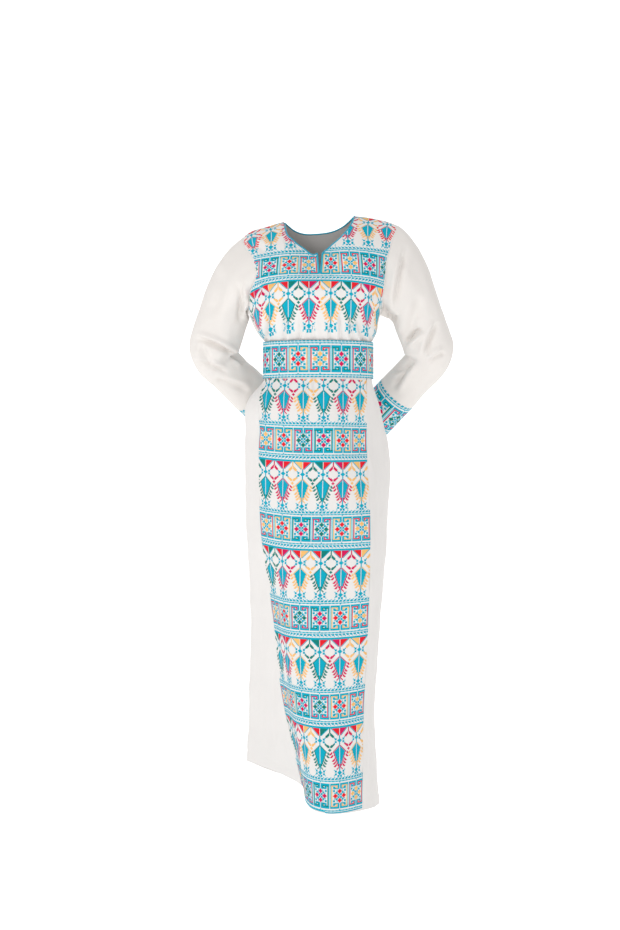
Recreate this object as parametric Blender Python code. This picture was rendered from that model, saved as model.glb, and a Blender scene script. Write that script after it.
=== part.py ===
"""A long white dress with embroidered bodice front, cuffs, belt and skirt panel, standing open as it is worn.

The wearer's left is +X and the front faces -Y. Z = 0 is the neck end of the left shoulder line.
Every piece is a wall of cloth with its outer face on one shared form, so that neighbours meet at their seams.
"""

import math

import bmesh
import bpy
import numpy as np

# Cloth
WALL = 0.0016
SEAM_GAP = 0.0007
RIDGE_GAP = 0.0014
ARMHOLE_GAP = 0.0024

# Heights of the cut lines
WAIST = -0.348
BELT_TOP = -0.303
BELT_BOTTOM = -0.389
BELT_CLEAR = 0.0036
HEM = -1.400

# Widths of the pieces, measured along the cloth
PANEL_WIDTH = 0.286
SIDE_PANEL = 0.30

# Skirt sections. Each row is a height, and each column a named place on the outline there, as x and y.
#  mid    middle of the embroidered panel    apex    the panel's foremost place
#  edge   the panel's left edge              turn    where the panel folds back towards the valley
#  valley where the panel meets the wearer's right side panel
SKIRT_PLACES = ("mid", "apex", "edge", "left", "back_left", "back", "back_right", "right", "valley", "turn")
SKIRT_SECTIONS = {
    -0.348: ((-0.012, -0.096), (0.036, -0.092), (0.106, -0.053), (0.124, 0.006), (0.088, 0.062),
             (0.0, 0.088), (-0.088, 0.063), (-0.124, 0.010), (-0.117, -0.036), (-0.058, -0.086)),
    -0.392: ((-0.012, -0.099), (0.036, -0.095), (0.108, -0.054), (0.128, 0.006), (0.092, 0.064),
             (0.0, 0.091), (-0.092, 0.065), (-0.128, 0.010), (-0.121, -0.038), (-0.058, -0.090)),
    -0.440: ((-0.012, -0.112), (0.037, -0.110), (0.112, -0.062), (0.142, 0.010), (0.102, 0.082),
             (0.0, 0.112), (-0.118, 0.086), (-0.167, 0.012), (-0.143, -0.058), (-0.058, -0.107)),
    -0.535: ((-0.012, -0.125), (0.037, -0.125), (0.114, -0.070), (0.166, 0.015), (0.120, 0.096),
             (0.0, 0.130), (-0.124, 0.100), (-0.174, 0.020), (-0.140, -0.073), (-0.058, -0.120)),
    -0.750: ((-0.017, -0.136), (0.033, -0.137), (0.121, -0.112), (0.164, 0.020), (0.118, 0.098),
             (0.0, 0.128), (-0.122, 0.108), (-0.173, 0.040), (-0.131, -0.077), (-0.065, -0.131)),
    -0.958: ((-0.021, -0.145), (0.026, -0.147), (0.118, -0.119), (0.147, 0.020), (0.106, 0.092),
             (-0.005, 0.122), (-0.116, 0.108), (-0.163, 0.058), (-0.109, -0.047), (-0.067, -0.127)),
    -1.170: ((-0.019, -0.148), (0.027, -0.162), (0.110, -0.109), (0.133, 0.030), (0.096, 0.104),
             (-0.010, 0.134), (-0.118, 0.128), (-0.166, 0.080), (-0.086, -0.025), (-0.054, -0.112)),
    -1.400: ((-0.011, -0.148), (0.028, -0.177), (0.105, -0.120), (0.145, 0.050), (0.104, 0.128),
             (-0.010, 0.154), (-0.122, 0.146), (-0.174, 0.088), (-0.044, 0.000), (-0.029, -0.100)),
}
# Heights of the rows where the skirt spreads out from under the belt
SKIRT_FLARE = (-0.455, -0.424, -0.406, -0.3905, -0.3485)
# Heights of the rows where the bodice blouses over the belt
BODICE_BLOUSE = (-0.3475, -0.304, -0.289)
# How much the hem rises above HEM at each of those places, and how quickly the rise fades upwards
HEM_RISE = (0.004, 0.0, 0.0, -0.006, 0.004, 0.020, 0.056, 0.086, 0.043, 0.014)
HEM_RISE_POWER = 1.5

# Torso sections: centre and half width across, depth to the front and to the back, and how square they are
TORSO_SECTIONS = (
    # z, centre, half_width, front, back, power
    (-0.348, 0.000, 0.1210, 0.0930, 0.0820, 2.0),
    (-0.304, 0.000, 0.1240, 0.0950, 0.0850, 2.0),
    (-0.288, -0.002, 0.1375, 0.107, 0.096, 2.1),
    (-0.248, -0.008, 0.1530, 0.121, 0.104, 2.2),
    (-0.200, -0.007, 0.1660, 0.130, 0.108, 2.3),
    (-0.150, -0.004, 0.1740, 0.131, 0.108, 2.3),
    (-0.100, -0.002, 0.1850, 0.130, 0.106, 2.3),
    (0.000, 0.000, 0.2100, 0.130, 0.104, 2.3),
)
BUST = -0.188
# How roundly the chest meets the shoulder line: near the neck, and outside it
NECK_SLOPE_POWER = 1.15
SHOULDER_SLOPE_POWER = 1.75
NECK_SLOPE_FROM, NECK_SLOPE_OVER = 0.020, 0.065

# The shoulder line from the wearer's right to left, and the neckline below it
NECK_RIGHT, NECK_LEFT = -0.0825, 0.0868
SHOULDER_LINE = (
    # x, z
    (-0.190, -0.060),
    (-0.166, -0.040),
    (-0.125, -0.026),
    (NECK_RIGHT, -0.0138),
    (0.0, -0.006),
    (NECK_LEFT, 0.0),
    (0.123, -0.0045),
    (0.173, -0.0163),
    (0.200, -0.028),
)
FRONT_NECKLINE = (
    # x, z
    (NECK_RIGHT, -0.0138),
    (-0.0790, -0.0340),
    (-0.0602, -0.0650),
    (-0.0372, -0.0841),
    (-0.0031, -0.1000),
    (0.0070, -0.0935),
    (0.0285, -0.0782),
    (0.0574, -0.0532),
    (0.0781, -0.0237),
    (NECK_LEFT, 0.0),
)
BACK_NECKLINE = (
    # x, z
    (NECK_RIGHT, -0.0138),
    (-0.060, -0.030),
    (0.0, -0.038),
    (0.062, -0.020),
    (NECK_LEFT, 0.0),
)
SLIT_X = 0.003
SLIT_BOTTOM = -0.151
SLIT_WIDTH = 0.0095
SLIT_REACH = 0.030
BINDING_RADIUS = 0.0012
BINDING_STEP = 0.0025

# Armhole edges on the wearer's right (-1) and left (1): how far they lie from the middle, front and back
ARMHOLES = {
    -1: (
        # z, front, back
        (-0.052, 0.1790, 0.1790),
        (-0.065, 0.1790, 0.1740),
        (-0.084, 0.1720, 0.1690),
        (-0.096, 0.1610, 0.1660),
        (-0.127, 0.1510, 0.1630),
        (-0.141, 0.1475, 0.1620),
        (-0.158, 0.1500, 0.1635),
        (-0.178, 0.1580, 0.1665),
        (-0.196, 0.1655, 0.1690),
        (-0.214, 0.1650, 0.1670),
        (-0.232, 0.1720, 0.1720),
    ),
    1: (
        # z, front, back
        (-0.0235, 0.1900, 0.1900),
        (-0.050, 0.1804, 0.1800),
        (-0.067, 0.1750, 0.1740),
        (-0.084, 0.1700, 0.1700),
        (-0.096, 0.1655, 0.1670),
        (-0.134, 0.1600, 0.1640),
        (-0.167, 0.1570, 0.1620),
        (-0.208, 0.1530, 0.1590),
        (-0.236, 0.1620, 0.1620),
    ),
}

# Arms of the dress: where the sleeve is first round, the elbow and the cuff's open end
ARMS = {
    -1: {"upper": (-0.225, 0.030, -0.228), "elbow": (-0.259, 0.056, -0.331), "end": (-0.096, 0.172, -0.483)},
    1: {"upper": (0.238, 0.030, -0.234), "elbow": (0.274, 0.056, -0.333), "end": (0.134, 0.166, -0.483)},
}
# Half sizes of the sleeve there, outwards and to the front
ARM_ROUND = {
    "upper": (0.0610, 0.056),
    "elbow": (0.0605, 0.050),
    "forearm": (0.0500, 0.041),
    "end": (0.0515, 0.040),
}
CUFF_LENGTH = 0.100
ELBOW_BEND = 0.030
# How the sleeve leaves its armhole: so much outwards, so much down the arm
CAP_OUT, CAP_DOWN = 0.60, 0.55

# How finely the faceted cloth is divided
SKIRT_ROWS = 12
PANEL_COLUMNS = 20
SIDE_COLUMNS = 10
BACK_COLUMNS = 14
BODICE_ROWS = 13
BODICE_COLUMNS = 12
NECK_COLUMN = 5
SHOULDER_TURN = 0.007
ARMHOLE_STEPS = 60
SLEEVE_AROUND = 18
SLEEVE_CAP_RINGS = 4
ELBOW_RINGS = 5
CUFF_RINGS = 1
BELT_AROUND = 44
OUTLINE_STEPS = 40

WHITE = (0.86, 0.845, 0.83)
TURQUOISE = (0.03, 0.42, 0.53)
PALE_TURQUOISE = (0.30, 0.62, 0.68)


def clear_scene():
    for item in list(bpy.data.objects):
        bpy.data.objects.remove(item, do_unlink=True)


def smooth(xs, ys, x):
    """Reads at x a smooth curve through the points (xs, ys)."""
    xs = np.asarray(xs, float)
    ys = np.asarray(ys, float)
    slopes = np.gradient(ys, xs, axis=0)
    x = np.clip(x, xs[0], xs[-1])
    i = np.clip(np.searchsorted(xs, x, side="right") - 1, 0, len(xs) - 2)
    step = xs[i + 1] - xs[i]
    t = (x - xs[i]) / step
    return (
        (1 + 2 * t) * (1 - t) ** 2 * ys[i]
        + t * (1 - t) ** 2 * step * slopes[i]
        + t * t * (3 - 2 * t) * ys[i + 1]
        + t * t * (t - 1) * step * slopes[i + 1]
    )


def ease(x):
    x = np.clip(x, 0.0, 1.0)
    return x * x * (3 - 2 * x)


def unit(vector):
    return vector / np.linalg.norm(vector)


# ---------------------------------------------------------------- skirt form

def skirt_anchors(z):
    """The section's named places at height z, each as x, y and the hem's rise."""
    heights = sorted(SKIRT_SECTIONS)
    places = smooth(heights, [SKIRT_SECTIONS[height] for height in heights], z)
    return np.column_stack([places, HEM_RISE])


def skirt_outline(z):
    """A closed curve through the anchors, as points and their distance along it from the panel's middle."""
    anchors = skirt_anchors(z)
    count = len(anchors)
    spans = [math.sqrt(np.linalg.norm((anchors[(i + 1) % count] - anchors[i])[:2])) for i in range(count)]
    points = []
    for i in range(count):
        p0, p1, p2, p3 = (anchors[(i + k) % count] for k in (-1, 0, 1, 2))
        d0, d1, d2 = spans[i - 1], spans[i], spans[(i + 1) % count]
        m1 = d1 * ((p1 - p0) / d0 - (p2 - p0) / (d0 + d1) + (p2 - p1) / d1)
        m2 = d1 * ((p2 - p1) / d1 - (p3 - p1) / (d1 + d2) + (p3 - p2) / d2)
        for t in np.arange(OUTLINE_STEPS) / OUTLINE_STEPS:
            points.append(
                (1 + 2 * t) * (1 - t) ** 2 * p1
                + t * (1 - t) ** 2 * m1
                + t * t * (3 - 2 * t) * p2
                + t * t * (t - 1) * m2
            )
    points.append(points[0])
    points = np.array(points)
    along = np.concatenate([[0.0], np.cumsum(np.linalg.norm(np.diff(points[:, :2], axis=0), axis=1))])
    return points, along


def skirt_points(z, distances):
    """Points of the section at height z, so far along it from the panel's middle, each with its hem rise."""
    points, along = skirt_outline(z)
    where = np.mod(distances, along[-1])
    return np.stack([np.interp(where, along, points[:, k]) for k in range(3)], axis=1)


def skirt_girth(z):
    return skirt_outline(z)[1][-1]


def skirt_spans(z):
    """Where each skirt piece starts and ends along the section at height z."""
    girth = skirt_girth(z)
    half = PANEL_WIDTH / 2
    side = (girth - PANEL_WIDTH) * SIDE_PANEL
    return {
        "skirt_front_panel": (-half, half),
        "skirt_side_left": (half, half + side),
        "skirt_back": (half + side, girth - half - side),
        "skirt_side_right": (girth - half - side, girth - half),
    }


def skirt_grid(piece, columns):
    """Rows from the hem up. Each column keeps its place along the piece, and ends on the hem's own line."""
    levels = [*np.linspace(HEM, SKIRT_FLARE[0], SKIRT_ROWS), *SKIRT_FLARE[1:]]
    grid = []
    for level in levels:
        v = (WAIST - level) / (WAIST - HEM)
        start, end = skirt_spans(level)[piece]
        places = np.linspace(start + SEAM_GAP / 2, end - SEAM_GAP / 2, columns + 1)
        found = skirt_points(level, places)
        grid.append(np.column_stack([found[:, :2], level + found[:, 2] * v ** HEM_RISE_POWER]))
    return np.array(grid)


# ---------------------------------------------------------------- torso form

def torso_section(z):
    """Centre, half width, front depth, back depth and power at height z."""
    rows = np.array(TORSO_SECTIONS)
    return smooth(rows[:, 0], rows[:, 1:], z)


def shoulder_height(x):
    line = np.array(SHOULDER_LINE)
    return float(smooth(line[:, 0], line[:, 1], x))


def torso_point(x, z, front):
    """The point of the torso's form at x and z, on its front or its back."""
    centre, half_width, front_depth, back_depth, square = torso_section(z)
    out = min(abs(x - centre) / half_width, 1.0)
    depth = (1 - out ** square) ** (1 / square)
    if z > BUST:
        ridge = shoulder_height(x)
        rise = min((z - BUST) / (ridge - BUST), 1.0)
        at_side = ease((abs(x) - NECK_SLOPE_FROM) / NECK_SLOPE_OVER)
        power = NECK_SLOPE_POWER + (SHOULDER_SLOPE_POWER - NECK_SLOPE_POWER) * (at_side if front else 1.0)
        depth *= (1 - rise ** power) ** (1 / power)
    return np.array([x, -front_depth * depth if front else back_depth * depth, z])


def armhole_x(z, side, front):
    """How far out the bodice reaches on this side at height z."""
    rows = ARMHOLES[side]
    centre, half_width = torso_section(z)[:2]
    reach = half_width + side * centre
    if z < rows[-1][0]:
        return reach
    edge = smooth([row[0] for row in rows[::-1]], [row[1 if front else 2] for row in rows[::-1]], z)
    return min(float(edge), reach)


def top_height(x, front):
    """The bodice's upper edge at x: the neckline between the shoulders, and the shoulder line outside it."""
    if NECK_RIGHT <= x <= NECK_LEFT:
        line = np.array(FRONT_NECKLINE if front else BACK_NECKLINE)
        return float(smooth(line[:, 0], line[:, 1], x))
    return shoulder_height(x)


def column_share(column, v, side):
    """How far out a column lies, as a share of the edge: crowded outwards below, on the neck point above."""
    low = math.sin(column / BODICE_COLUMNS * math.pi / 2)
    neck = (NECK_LEFT if side > 0 else -NECK_RIGHT) / ARMHOLES[side][0][1]
    if column <= NECK_COLUMN:
        high = neck * column / NECK_COLUMN
    else:
        high = neck + (1 - neck) * (column - NECK_COLUMN) / (BODICE_COLUMNS - NECK_COLUMN)
    return low + (high - low) * v * v


def bodice_half(side, front):
    """One half of the bodice as x and z, in rows from the waist up and columns from the middle out."""
    tip = ARMHOLES[side][0][0]
    low = BODICE_BLOUSE[-1]
    rises = [*np.linspace(0.0, 1.0, BODICE_ROWS)[:-1], 1 - SHOULDER_TURN, 1.0]
    rows = []
    for z in BODICE_BLOUSE[:-1]:
        edge = armhole_x(z, side, front)
        shares = [column_share(column, 0.0, side) for column in range(BODICE_COLUMNS + 1)]
        rows.append([(SLIT_X * (1 - share) + side * edge * share, z) for share in shares])
    for v in rises:
        edge = armhole_x(low + v * (tip - low), side, front)
        row = []
        for column in range(BODICE_COLUMNS + 1):
            share = column_share(column, v, side)
            x = SLIT_X * (1 - share) + side * edge * share
            x_top = SLIT_X + (side * ARMHOLES[side][0][1] - SLIT_X) * column_share(column, 1.0, side)
            top = tip if column == BODICE_COLUMNS else top_height(x_top, front)
            row.append((x, low + v * (top - low)))
        rows.append(row)
    return rows


def bodice_grid(side, front):
    seam = RIDGE_GAP / 2 if front else -RIDGE_GAP / 2
    grid = []
    for row in bodice_half(side, front):
        line = []
        for x, z in row:
            edge = armhole_x(z, side, front)
            point = torso_point(max(-edge, min(edge, x)), z, front)
            point[1] -= seam
            line.append(open_slit(point, side) if front else point)
        grid.append(line)
    return np.array(grid)


def open_slit(point, side):
    """Moves the centre line's points apart above the bottom of the slit."""
    x, y, z = point
    if z <= SLIT_BOTTOM or abs(x - SLIT_X) > SLIT_REACH:
        return point
    top = top_height(SLIT_X, True)
    half = BINDING_STEP + (SLIT_WIDTH / 2) * (z - SLIT_BOTTOM) / (top - SLIT_BOTTOM)
    near = 1 - abs(x - SLIT_X) / SLIT_REACH
    return np.array([x + side * half * near, y, z])


# ---------------------------------------------------------------- sleeves

def armhole_loop(side):
    """The sleeve's first ring: from the shoulder tip down the front, under the arm and up the back."""
    rows = ARMHOLES[side]
    ends = (rows[0][0], rows[-1][0])
    dense = []
    for front in (True, False):
        heights = np.linspace(ends[0], ends[1], ARMHOLE_STEPS)
        line = np.array([torso_point(side * armhole_x(z, side, front), z, front) for z in heights])
        dense.append(line if front else line[::-1])
    half = SLEEVE_AROUND // 2
    loop = []
    for line in dense:
        along = np.concatenate([[0.0], np.cumsum(np.linalg.norm(np.diff(line, axis=0), axis=1))])
        where = np.linspace(0.0, along[-1], half + 1)[:-1]
        loop += [[np.interp(w, along, line[:, k]) for k in range(3)] for w in where]
    return np.array(loop)


def arm_frame(direction, side):
    """Two directions across the arm: outwards, and to the front."""
    ahead = np.array([0.0, -1.0, 0.0])
    ahead = unit(ahead - direction * ahead.dot(direction))
    outward = unit(np.cross(ahead, direction)) * side
    return outward, ahead


def arm_ring(centre, direction, half_sizes, side):
    outward, ahead = arm_frame(direction, side)
    ring = []
    for k in range(SLEEVE_AROUND):
        turn = 2 * math.pi * k / SLEEVE_AROUND
        across = outward * half_sizes[0] * math.cos(turn)
        ring.append(centre + across + ahead * half_sizes[1] * math.sin(turn))
    return np.array(ring)


def arm_path(side):
    """The arm's three stops, its direction down to the elbow and its direction on from there."""
    upper, elbow, end = (np.array(ARMS[side][name]) for name in ("upper", "elbow", "end"))
    down = unit(elbow - upper)
    back = unit(end - elbow)
    return upper, elbow, end, down, back


def arm_stations(side):
    """Centre, direction and half sizes at each ring from the round upper sleeve to the cuff's seam."""
    upper, elbow, end, down, back = arm_path(side)
    sizes = {name: np.array(value) for name, value in ARM_ROUND.items()}
    start, stop = elbow - down * ELBOW_BEND, elbow + back * ELBOW_BEND
    cuff = end - back * CUFF_LENGTH
    stations = [(upper, down, sizes["upper"])]
    stations.append(((upper + start) / 2, down, (sizes["upper"] + sizes["elbow"]) / 2))
    for t in np.linspace(0.0, 1.0, ELBOW_RINGS + 1):
        centre = (1 - t) ** 2 * start + 2 * t * (1 - t) * elbow + t * t * stop
        direction = unit((1 - t) * (elbow - start) + t * (stop - elbow))
        half = sizes["elbow"] * (1 - ease(t)) + sizes["forearm"] * ease(t)
        stations.append((centre, direction, half))
    stations.append(((stop + cuff) / 2, back, sizes["forearm"]))
    stations.append((cuff, back, sizes["end"]))
    return stations


def sleeve_rings(side):
    """Rings from the armhole to the cuff's seam."""
    loop = armhole_loop(side)
    out = np.array([side, 0.0, 0.0])
    stations = arm_stations(side)
    upper, _, _, down, _ = arm_path(side)
    first = arm_ring(stations[0][0], stations[0][1], stations[0][2], side)
    leave = unit(out * CAP_OUT + down * CAP_DOWN)
    loop = loop + leave * ARMHOLE_GAP
    reach = np.linalg.norm(first - loop, axis=1)[:, None]
    rings = []
    for t in np.linspace(0.0, 1.0, SLEEVE_CAP_RINGS + 1)[:-1]:
        rings.append(
            (1 + 2 * t) * (1 - t) ** 2 * loop
            + t * (1 - t) ** 2 * reach * leave
            + t * t * (3 - 2 * t) * first
            + t * t * (t - 1) * reach * down
        )
    for centre, direction, half in stations:
        rings.append(arm_ring(centre, direction, half, side))
    return np.array(rings)


def cuff_rings(side):
    _, _, end, _, back = arm_path(side)
    rings = []
    for t in np.linspace(0.0, 1.0, CUFF_RINGS + 1):
        centre = end - back * ((1 - t) * (CUFF_LENGTH - SEAM_GAP))
        rings.append(arm_ring(centre, back, np.array(ARM_ROUND["end"]), side))
    return np.array(rings)


# ---------------------------------------------------------------- belt and binding

def belt_outline():
    """The belt's outer face seen from above: the skirt's section under it, moved out by the cloth between."""
    points, _ = skirt_outline(BELT_BOTTOM)
    points = points[:-1, :2]
    ahead = np.roll(points, -1, axis=0) - np.roll(points, 1, axis=0)
    outward = np.column_stack([ahead[:, 1], -ahead[:, 0]])
    outward /= np.linalg.norm(outward, axis=1)[:, None]
    points = points + outward * BELT_CLEAR
    points = np.vstack([points, points[:1]])
    along = np.concatenate([[0.0], np.cumsum(np.linalg.norm(np.diff(points, axis=0), axis=1))])
    return points, along


def belt_points(z, distances):
    """Points on the belt's outer face at height z, at these distances from its middle at the front."""
    points, along = belt_outline()
    where = np.mod(distances, along[-1])
    flat = [np.interp(where, along, points[:, k]) for k in range(2)]
    return np.column_stack([*flat, np.full(len(where), z)])


def belt_grid():
    girth = belt_outline()[1][-1]
    places = np.arange(BELT_AROUND) * girth / BELT_AROUND
    return np.array([belt_points(z, places) for z in (BELT_BOTTOM, BELT_TOP)])


def step_off(edge, inner):
    """Points beside a bodice edge, away from the inner points, where the binding's middle lies."""
    ahead = np.gradient(edge, axis=0)
    ahead /= np.linalg.norm(ahead, axis=1)[:, None]
    away = edge - inner
    away -= ahead * np.sum(away * ahead, axis=1)[:, None]
    away /= np.linalg.norm(away, axis=1)[:, None]
    return edge + away * BINDING_STEP


def binding_path():
    """A closed line round the neck: the front neckline, down and up its slit, and the back neckline."""
    left, right = bodice_grid(1, True), bodice_grid(-1, True)
    open_rows = [i for i in range(len(left)) if left[i, 0, 2] > SLIT_BOTTOM]
    beside = np.array([[BINDING_STEP, 0.0, 0.0]] * len(open_rows))
    beside[-1, 2] = BINDING_STEP
    path = list(step_off(right[-1, NECK_COLUMN:0:-1], right[-3, NECK_COLUMN:0:-1]))
    path += list((right[open_rows, 0] + beside)[::-1])
    path += list(left[open_rows, 0] + beside * (-1, 1, 1))
    path += list(step_off(left[-1, 1 : NECK_COLUMN + 1], left[-3, 1 : NECK_COLUMN + 1]))
    back_left, back_right = bodice_grid(1, False), bodice_grid(-1, False)
    edge = np.vstack([back_left[-1, NECK_COLUMN:0:-1], back_right[-1, : NECK_COLUMN + 1]])
    inner = np.vstack([back_left[-3, NECK_COLUMN:0:-1], back_right[-3, : NECK_COLUMN + 1]])
    path += list(step_off(edge, inner))
    return path


# ---------------------------------------------------------------- objects

def material(name, colour, roughness):
    made = bpy.data.materials.new(name)
    made.use_nodes = True
    shader = made.node_tree.nodes["Principled BSDF"]
    shader.inputs["Base Color"].default_value = (*colour, 1.0)
    shader.inputs["Roughness"].default_value = roughness
    shader.inputs["Metallic"].default_value = 0.0
    return made


def add_cloth(name, grids, colour, closed=False, flip=False):
    """A wall of cloth on grids of outer points. Grids that share an edge are joined along it."""
    shape = bmesh.new()
    for grid in grids:
        verts = [[shape.verts.new(point) for point in row] for row in grid]
        count = len(verts[0])
        for low, high in zip(verts, verts[1:]):
            for j in range(count if closed else count - 1):
                corners = [low[j], low[(j + 1) % count], high[(j + 1) % count], high[j]]
                shape.faces.new(corners[::-1] if flip else corners)
    bmesh.ops.remove_doubles(shape, verts=shape.verts, dist=0.00001)
    mesh = bpy.data.meshes.new(name)
    shape.to_mesh(mesh)
    shape.free()
    mesh.materials.append(material(name, colour, 0.85))
    made = bpy.data.objects.new(name, mesh)
    bpy.context.scene.collection.objects.link(made)
    wall = made.modifiers.new("Wall", "SOLIDIFY")
    wall.thickness = WALL
    wall.offset = -1.0
    mesh.shade_smooth()
    return made


def add_skirt():
    columns = {
        "skirt_front_panel": PANEL_COLUMNS,
        "skirt_side_left": SIDE_COLUMNS,
        "skirt_back": BACK_COLUMNS,
        "skirt_side_right": SIDE_COLUMNS,
    }
    for piece, count in columns.items():
        colour = PALE_TURQUOISE if piece == "skirt_front_panel" else WHITE
        add_cloth(piece, [skirt_grid(piece, count)], colour)


def add_bodice():
    for name, front in (("bodice_front", True), ("bodice_back", False)):
        left = bodice_grid(1, front)
        right = bodice_grid(-1, front)[:, ::-1]
        add_cloth(name, [right, left], PALE_TURQUOISE if front else WHITE, flip=not front)


def add_sleeves():
    for name, side in (("right", -1), ("left", 1)):
        add_cloth(f"sleeve_{name}", [sleeve_rings(side)], WHITE, closed=True, flip=side < 0)
        add_cloth(f"cuff_{name}", [cuff_rings(side)], PALE_TURQUOISE, closed=True, flip=side < 0)


def add_belt():
    add_cloth("belt", [belt_grid()], TURQUOISE, closed=True)


def add_binding():
    curve = bpy.data.curves.new("neck_binding", "CURVE")
    curve.dimensions = "3D"
    curve.bevel_depth = BINDING_RADIUS
    curve.bevel_resolution = 1
    line = curve.splines.new("POLY")
    path = binding_path()
    line.points.add(len(path) - 1)
    for spot, point in zip(line.points, path):
        spot.co = (*point, 1.0)
    line.use_cyclic_u = True
    curve.materials.append(material("neck_binding", TURQUOISE, 0.7))
    made = bpy.data.objects.new("neck_binding", curve)
    bpy.context.scene.collection.objects.link(made)


def main():
    clear_scene()
    add_skirt()
    add_bodice()
    add_sleeves()
    add_belt()
    add_binding()


main()
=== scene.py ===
"""The finish of a long white dress with cross-stitched bodice, belt, cuffs and skirt panel.

The wearer's left is +X and the front faces -Y. All sizes are metres unless a name says otherwise. Every cloth
piece is a fine shell on the form of its solid, with its creases pressed in, and every cross stitch is a small
pillow of thread on a lattice that lies on that shell.
"""

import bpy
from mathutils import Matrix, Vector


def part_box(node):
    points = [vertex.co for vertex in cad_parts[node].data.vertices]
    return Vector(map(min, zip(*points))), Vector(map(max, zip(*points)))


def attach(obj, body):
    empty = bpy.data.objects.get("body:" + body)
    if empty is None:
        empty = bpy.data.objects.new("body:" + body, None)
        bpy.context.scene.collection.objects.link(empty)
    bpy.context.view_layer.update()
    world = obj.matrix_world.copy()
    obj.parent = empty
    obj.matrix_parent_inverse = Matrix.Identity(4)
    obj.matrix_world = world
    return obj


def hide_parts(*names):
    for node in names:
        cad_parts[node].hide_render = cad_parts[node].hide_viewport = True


bl_info = {
    "name": "Cross-stitched thobe",
    "version": (1, 0, 0),
    "blender": (4, 5, 0),
    "location": "3D View > Sidebar > Thobe",
    "description": "Sews a long white dress with cross-stitched bodice, belt, cuffs and skirt panel",
    "category": "Add Mesh",
}

import functools
import math

import bpy
import numpy as np
from bpy.props import FloatProperty, FloatVectorProperty, PointerProperty
from mathutils import Vector

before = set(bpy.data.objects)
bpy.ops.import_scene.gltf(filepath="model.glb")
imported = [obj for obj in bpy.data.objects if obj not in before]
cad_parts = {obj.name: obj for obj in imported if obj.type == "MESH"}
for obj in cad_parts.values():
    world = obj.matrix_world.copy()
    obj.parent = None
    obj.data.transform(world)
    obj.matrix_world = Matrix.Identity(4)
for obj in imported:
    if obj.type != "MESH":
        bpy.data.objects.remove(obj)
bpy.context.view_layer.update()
BODY = "root"

# ---------------------------------------------------------------- form, as the solids have it

SEAM_GAP = 0.0003
ARMHOLE_GAP = 0.0003
WAIST = -0.348
BELT_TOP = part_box("belt")[1].z
BELT_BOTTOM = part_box("belt")[0].z
BELT_CLEAR = 0.0036
HEM = -1.400
PANEL_WIDTH = 0.286
SIDE_PANEL = 0.30

# Skirt sections. Each row is a height, and each column a named place on the outline there, as x and y.
#  mid    middle of the embroidered panel    apex    the panel's foremost place
#  edge   the panel's left edge              turn    where the panel folds back towards the valley
#  valley where the panel meets the wearer's right side panel
SKIRT_PLACES = ("mid", "apex", "edge", "left", "back_left", "back", "back_right", "right", "valley", "turn")
SKIRT_SECTIONS = {
    -0.348: ((-0.012, -0.096), (0.036, -0.092), (0.106, -0.053), (0.124, 0.006), (0.088, 0.062),
             (0.0, 0.088), (-0.088, 0.063), (-0.124, 0.010), (-0.117, -0.036), (-0.058, -0.086)),
    -0.392: ((-0.012, -0.099), (0.036, -0.095), (0.108, -0.054), (0.128, 0.006), (0.092, 0.064),
             (0.0, 0.091), (-0.092, 0.065), (-0.128, 0.010), (-0.121, -0.038), (-0.058, -0.090)),
    -0.440: ((-0.012, -0.112), (0.037, -0.110), (0.112, -0.062), (0.142, 0.010), (0.102, 0.082),
             (0.0, 0.112), (-0.118, 0.086), (-0.167, 0.012), (-0.143, -0.058), (-0.058, -0.107)),
    -0.535: ((-0.012, -0.125), (0.037, -0.125), (0.114, -0.070), (0.166, 0.015), (0.120, 0.096),
             (0.0, 0.130), (-0.124, 0.100), (-0.174, 0.020), (-0.140, -0.073), (-0.058, -0.120)),
    -0.750: ((-0.017, -0.136), (0.033, -0.137), (0.121, -0.112), (0.164, 0.020), (0.118, 0.098),
             (0.0, 0.128), (-0.122, 0.108), (-0.173, 0.040), (-0.131, -0.077), (-0.065, -0.131)),
    -0.958: ((-0.021, -0.145), (0.026, -0.147), (0.118, -0.119), (0.147, 0.020), (0.106, 0.092),
             (-0.005, 0.122), (-0.116, 0.108), (-0.163, 0.058), (-0.109, -0.047), (-0.067, -0.127)),
    -1.170: ((-0.019, -0.148), (0.027, -0.162), (0.110, -0.109), (0.133, 0.030), (0.096, 0.104),
             (-0.010, 0.134), (-0.118, 0.128), (-0.166, 0.080), (-0.086, -0.025), (-0.054, -0.112)),
    -1.400: ((-0.011, -0.148), (0.028, -0.177), (0.105, -0.120), (0.145, 0.050), (0.104, 0.128),
             (-0.010, 0.154), (-0.122, 0.146), (-0.174, 0.088), (-0.044, 0.000), (-0.029, -0.100)),
}
HEM_RISE = (0.004, 0.0, 0.0, -0.006, 0.004, 0.020, 0.056, 0.086, 0.043, 0.014)
HEM_RISE_POWER = 1.5
OUTLINE_STEPS = 40

# Torso sections: centre and half width across, depth to the front and to the back, and how square they are
TORSO_SECTIONS = (
    # z, centre, half_width, front, back, power
    (-0.348, 0.000, 0.1210, 0.0930, 0.0820, 2.0),
    (-0.304, 0.000, 0.1240, 0.0950, 0.0850, 2.0),
    (-0.288, -0.002, 0.1375, 0.107, 0.096, 2.1),
    (-0.248, -0.008, 0.1530, 0.121, 0.104, 2.2),
    (-0.200, -0.007, 0.1660, 0.130, 0.108, 2.3),
    (-0.150, -0.004, 0.1740, 0.131, 0.108, 2.3),
    (-0.100, -0.002, 0.1850, 0.130, 0.106, 2.3),
    (0.000, 0.000, 0.2100, 0.130, 0.104, 2.3),
)
BLOUSE_FROM, BLOUSE_TO = -0.3475, -0.289
BUST = -0.188
NECK_SLOPE_POWER = 1.15
SHOULDER_SLOPE_POWER = 1.75
NECK_SLOPE_FROM, NECK_SLOPE_OVER = 0.020, 0.065

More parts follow.
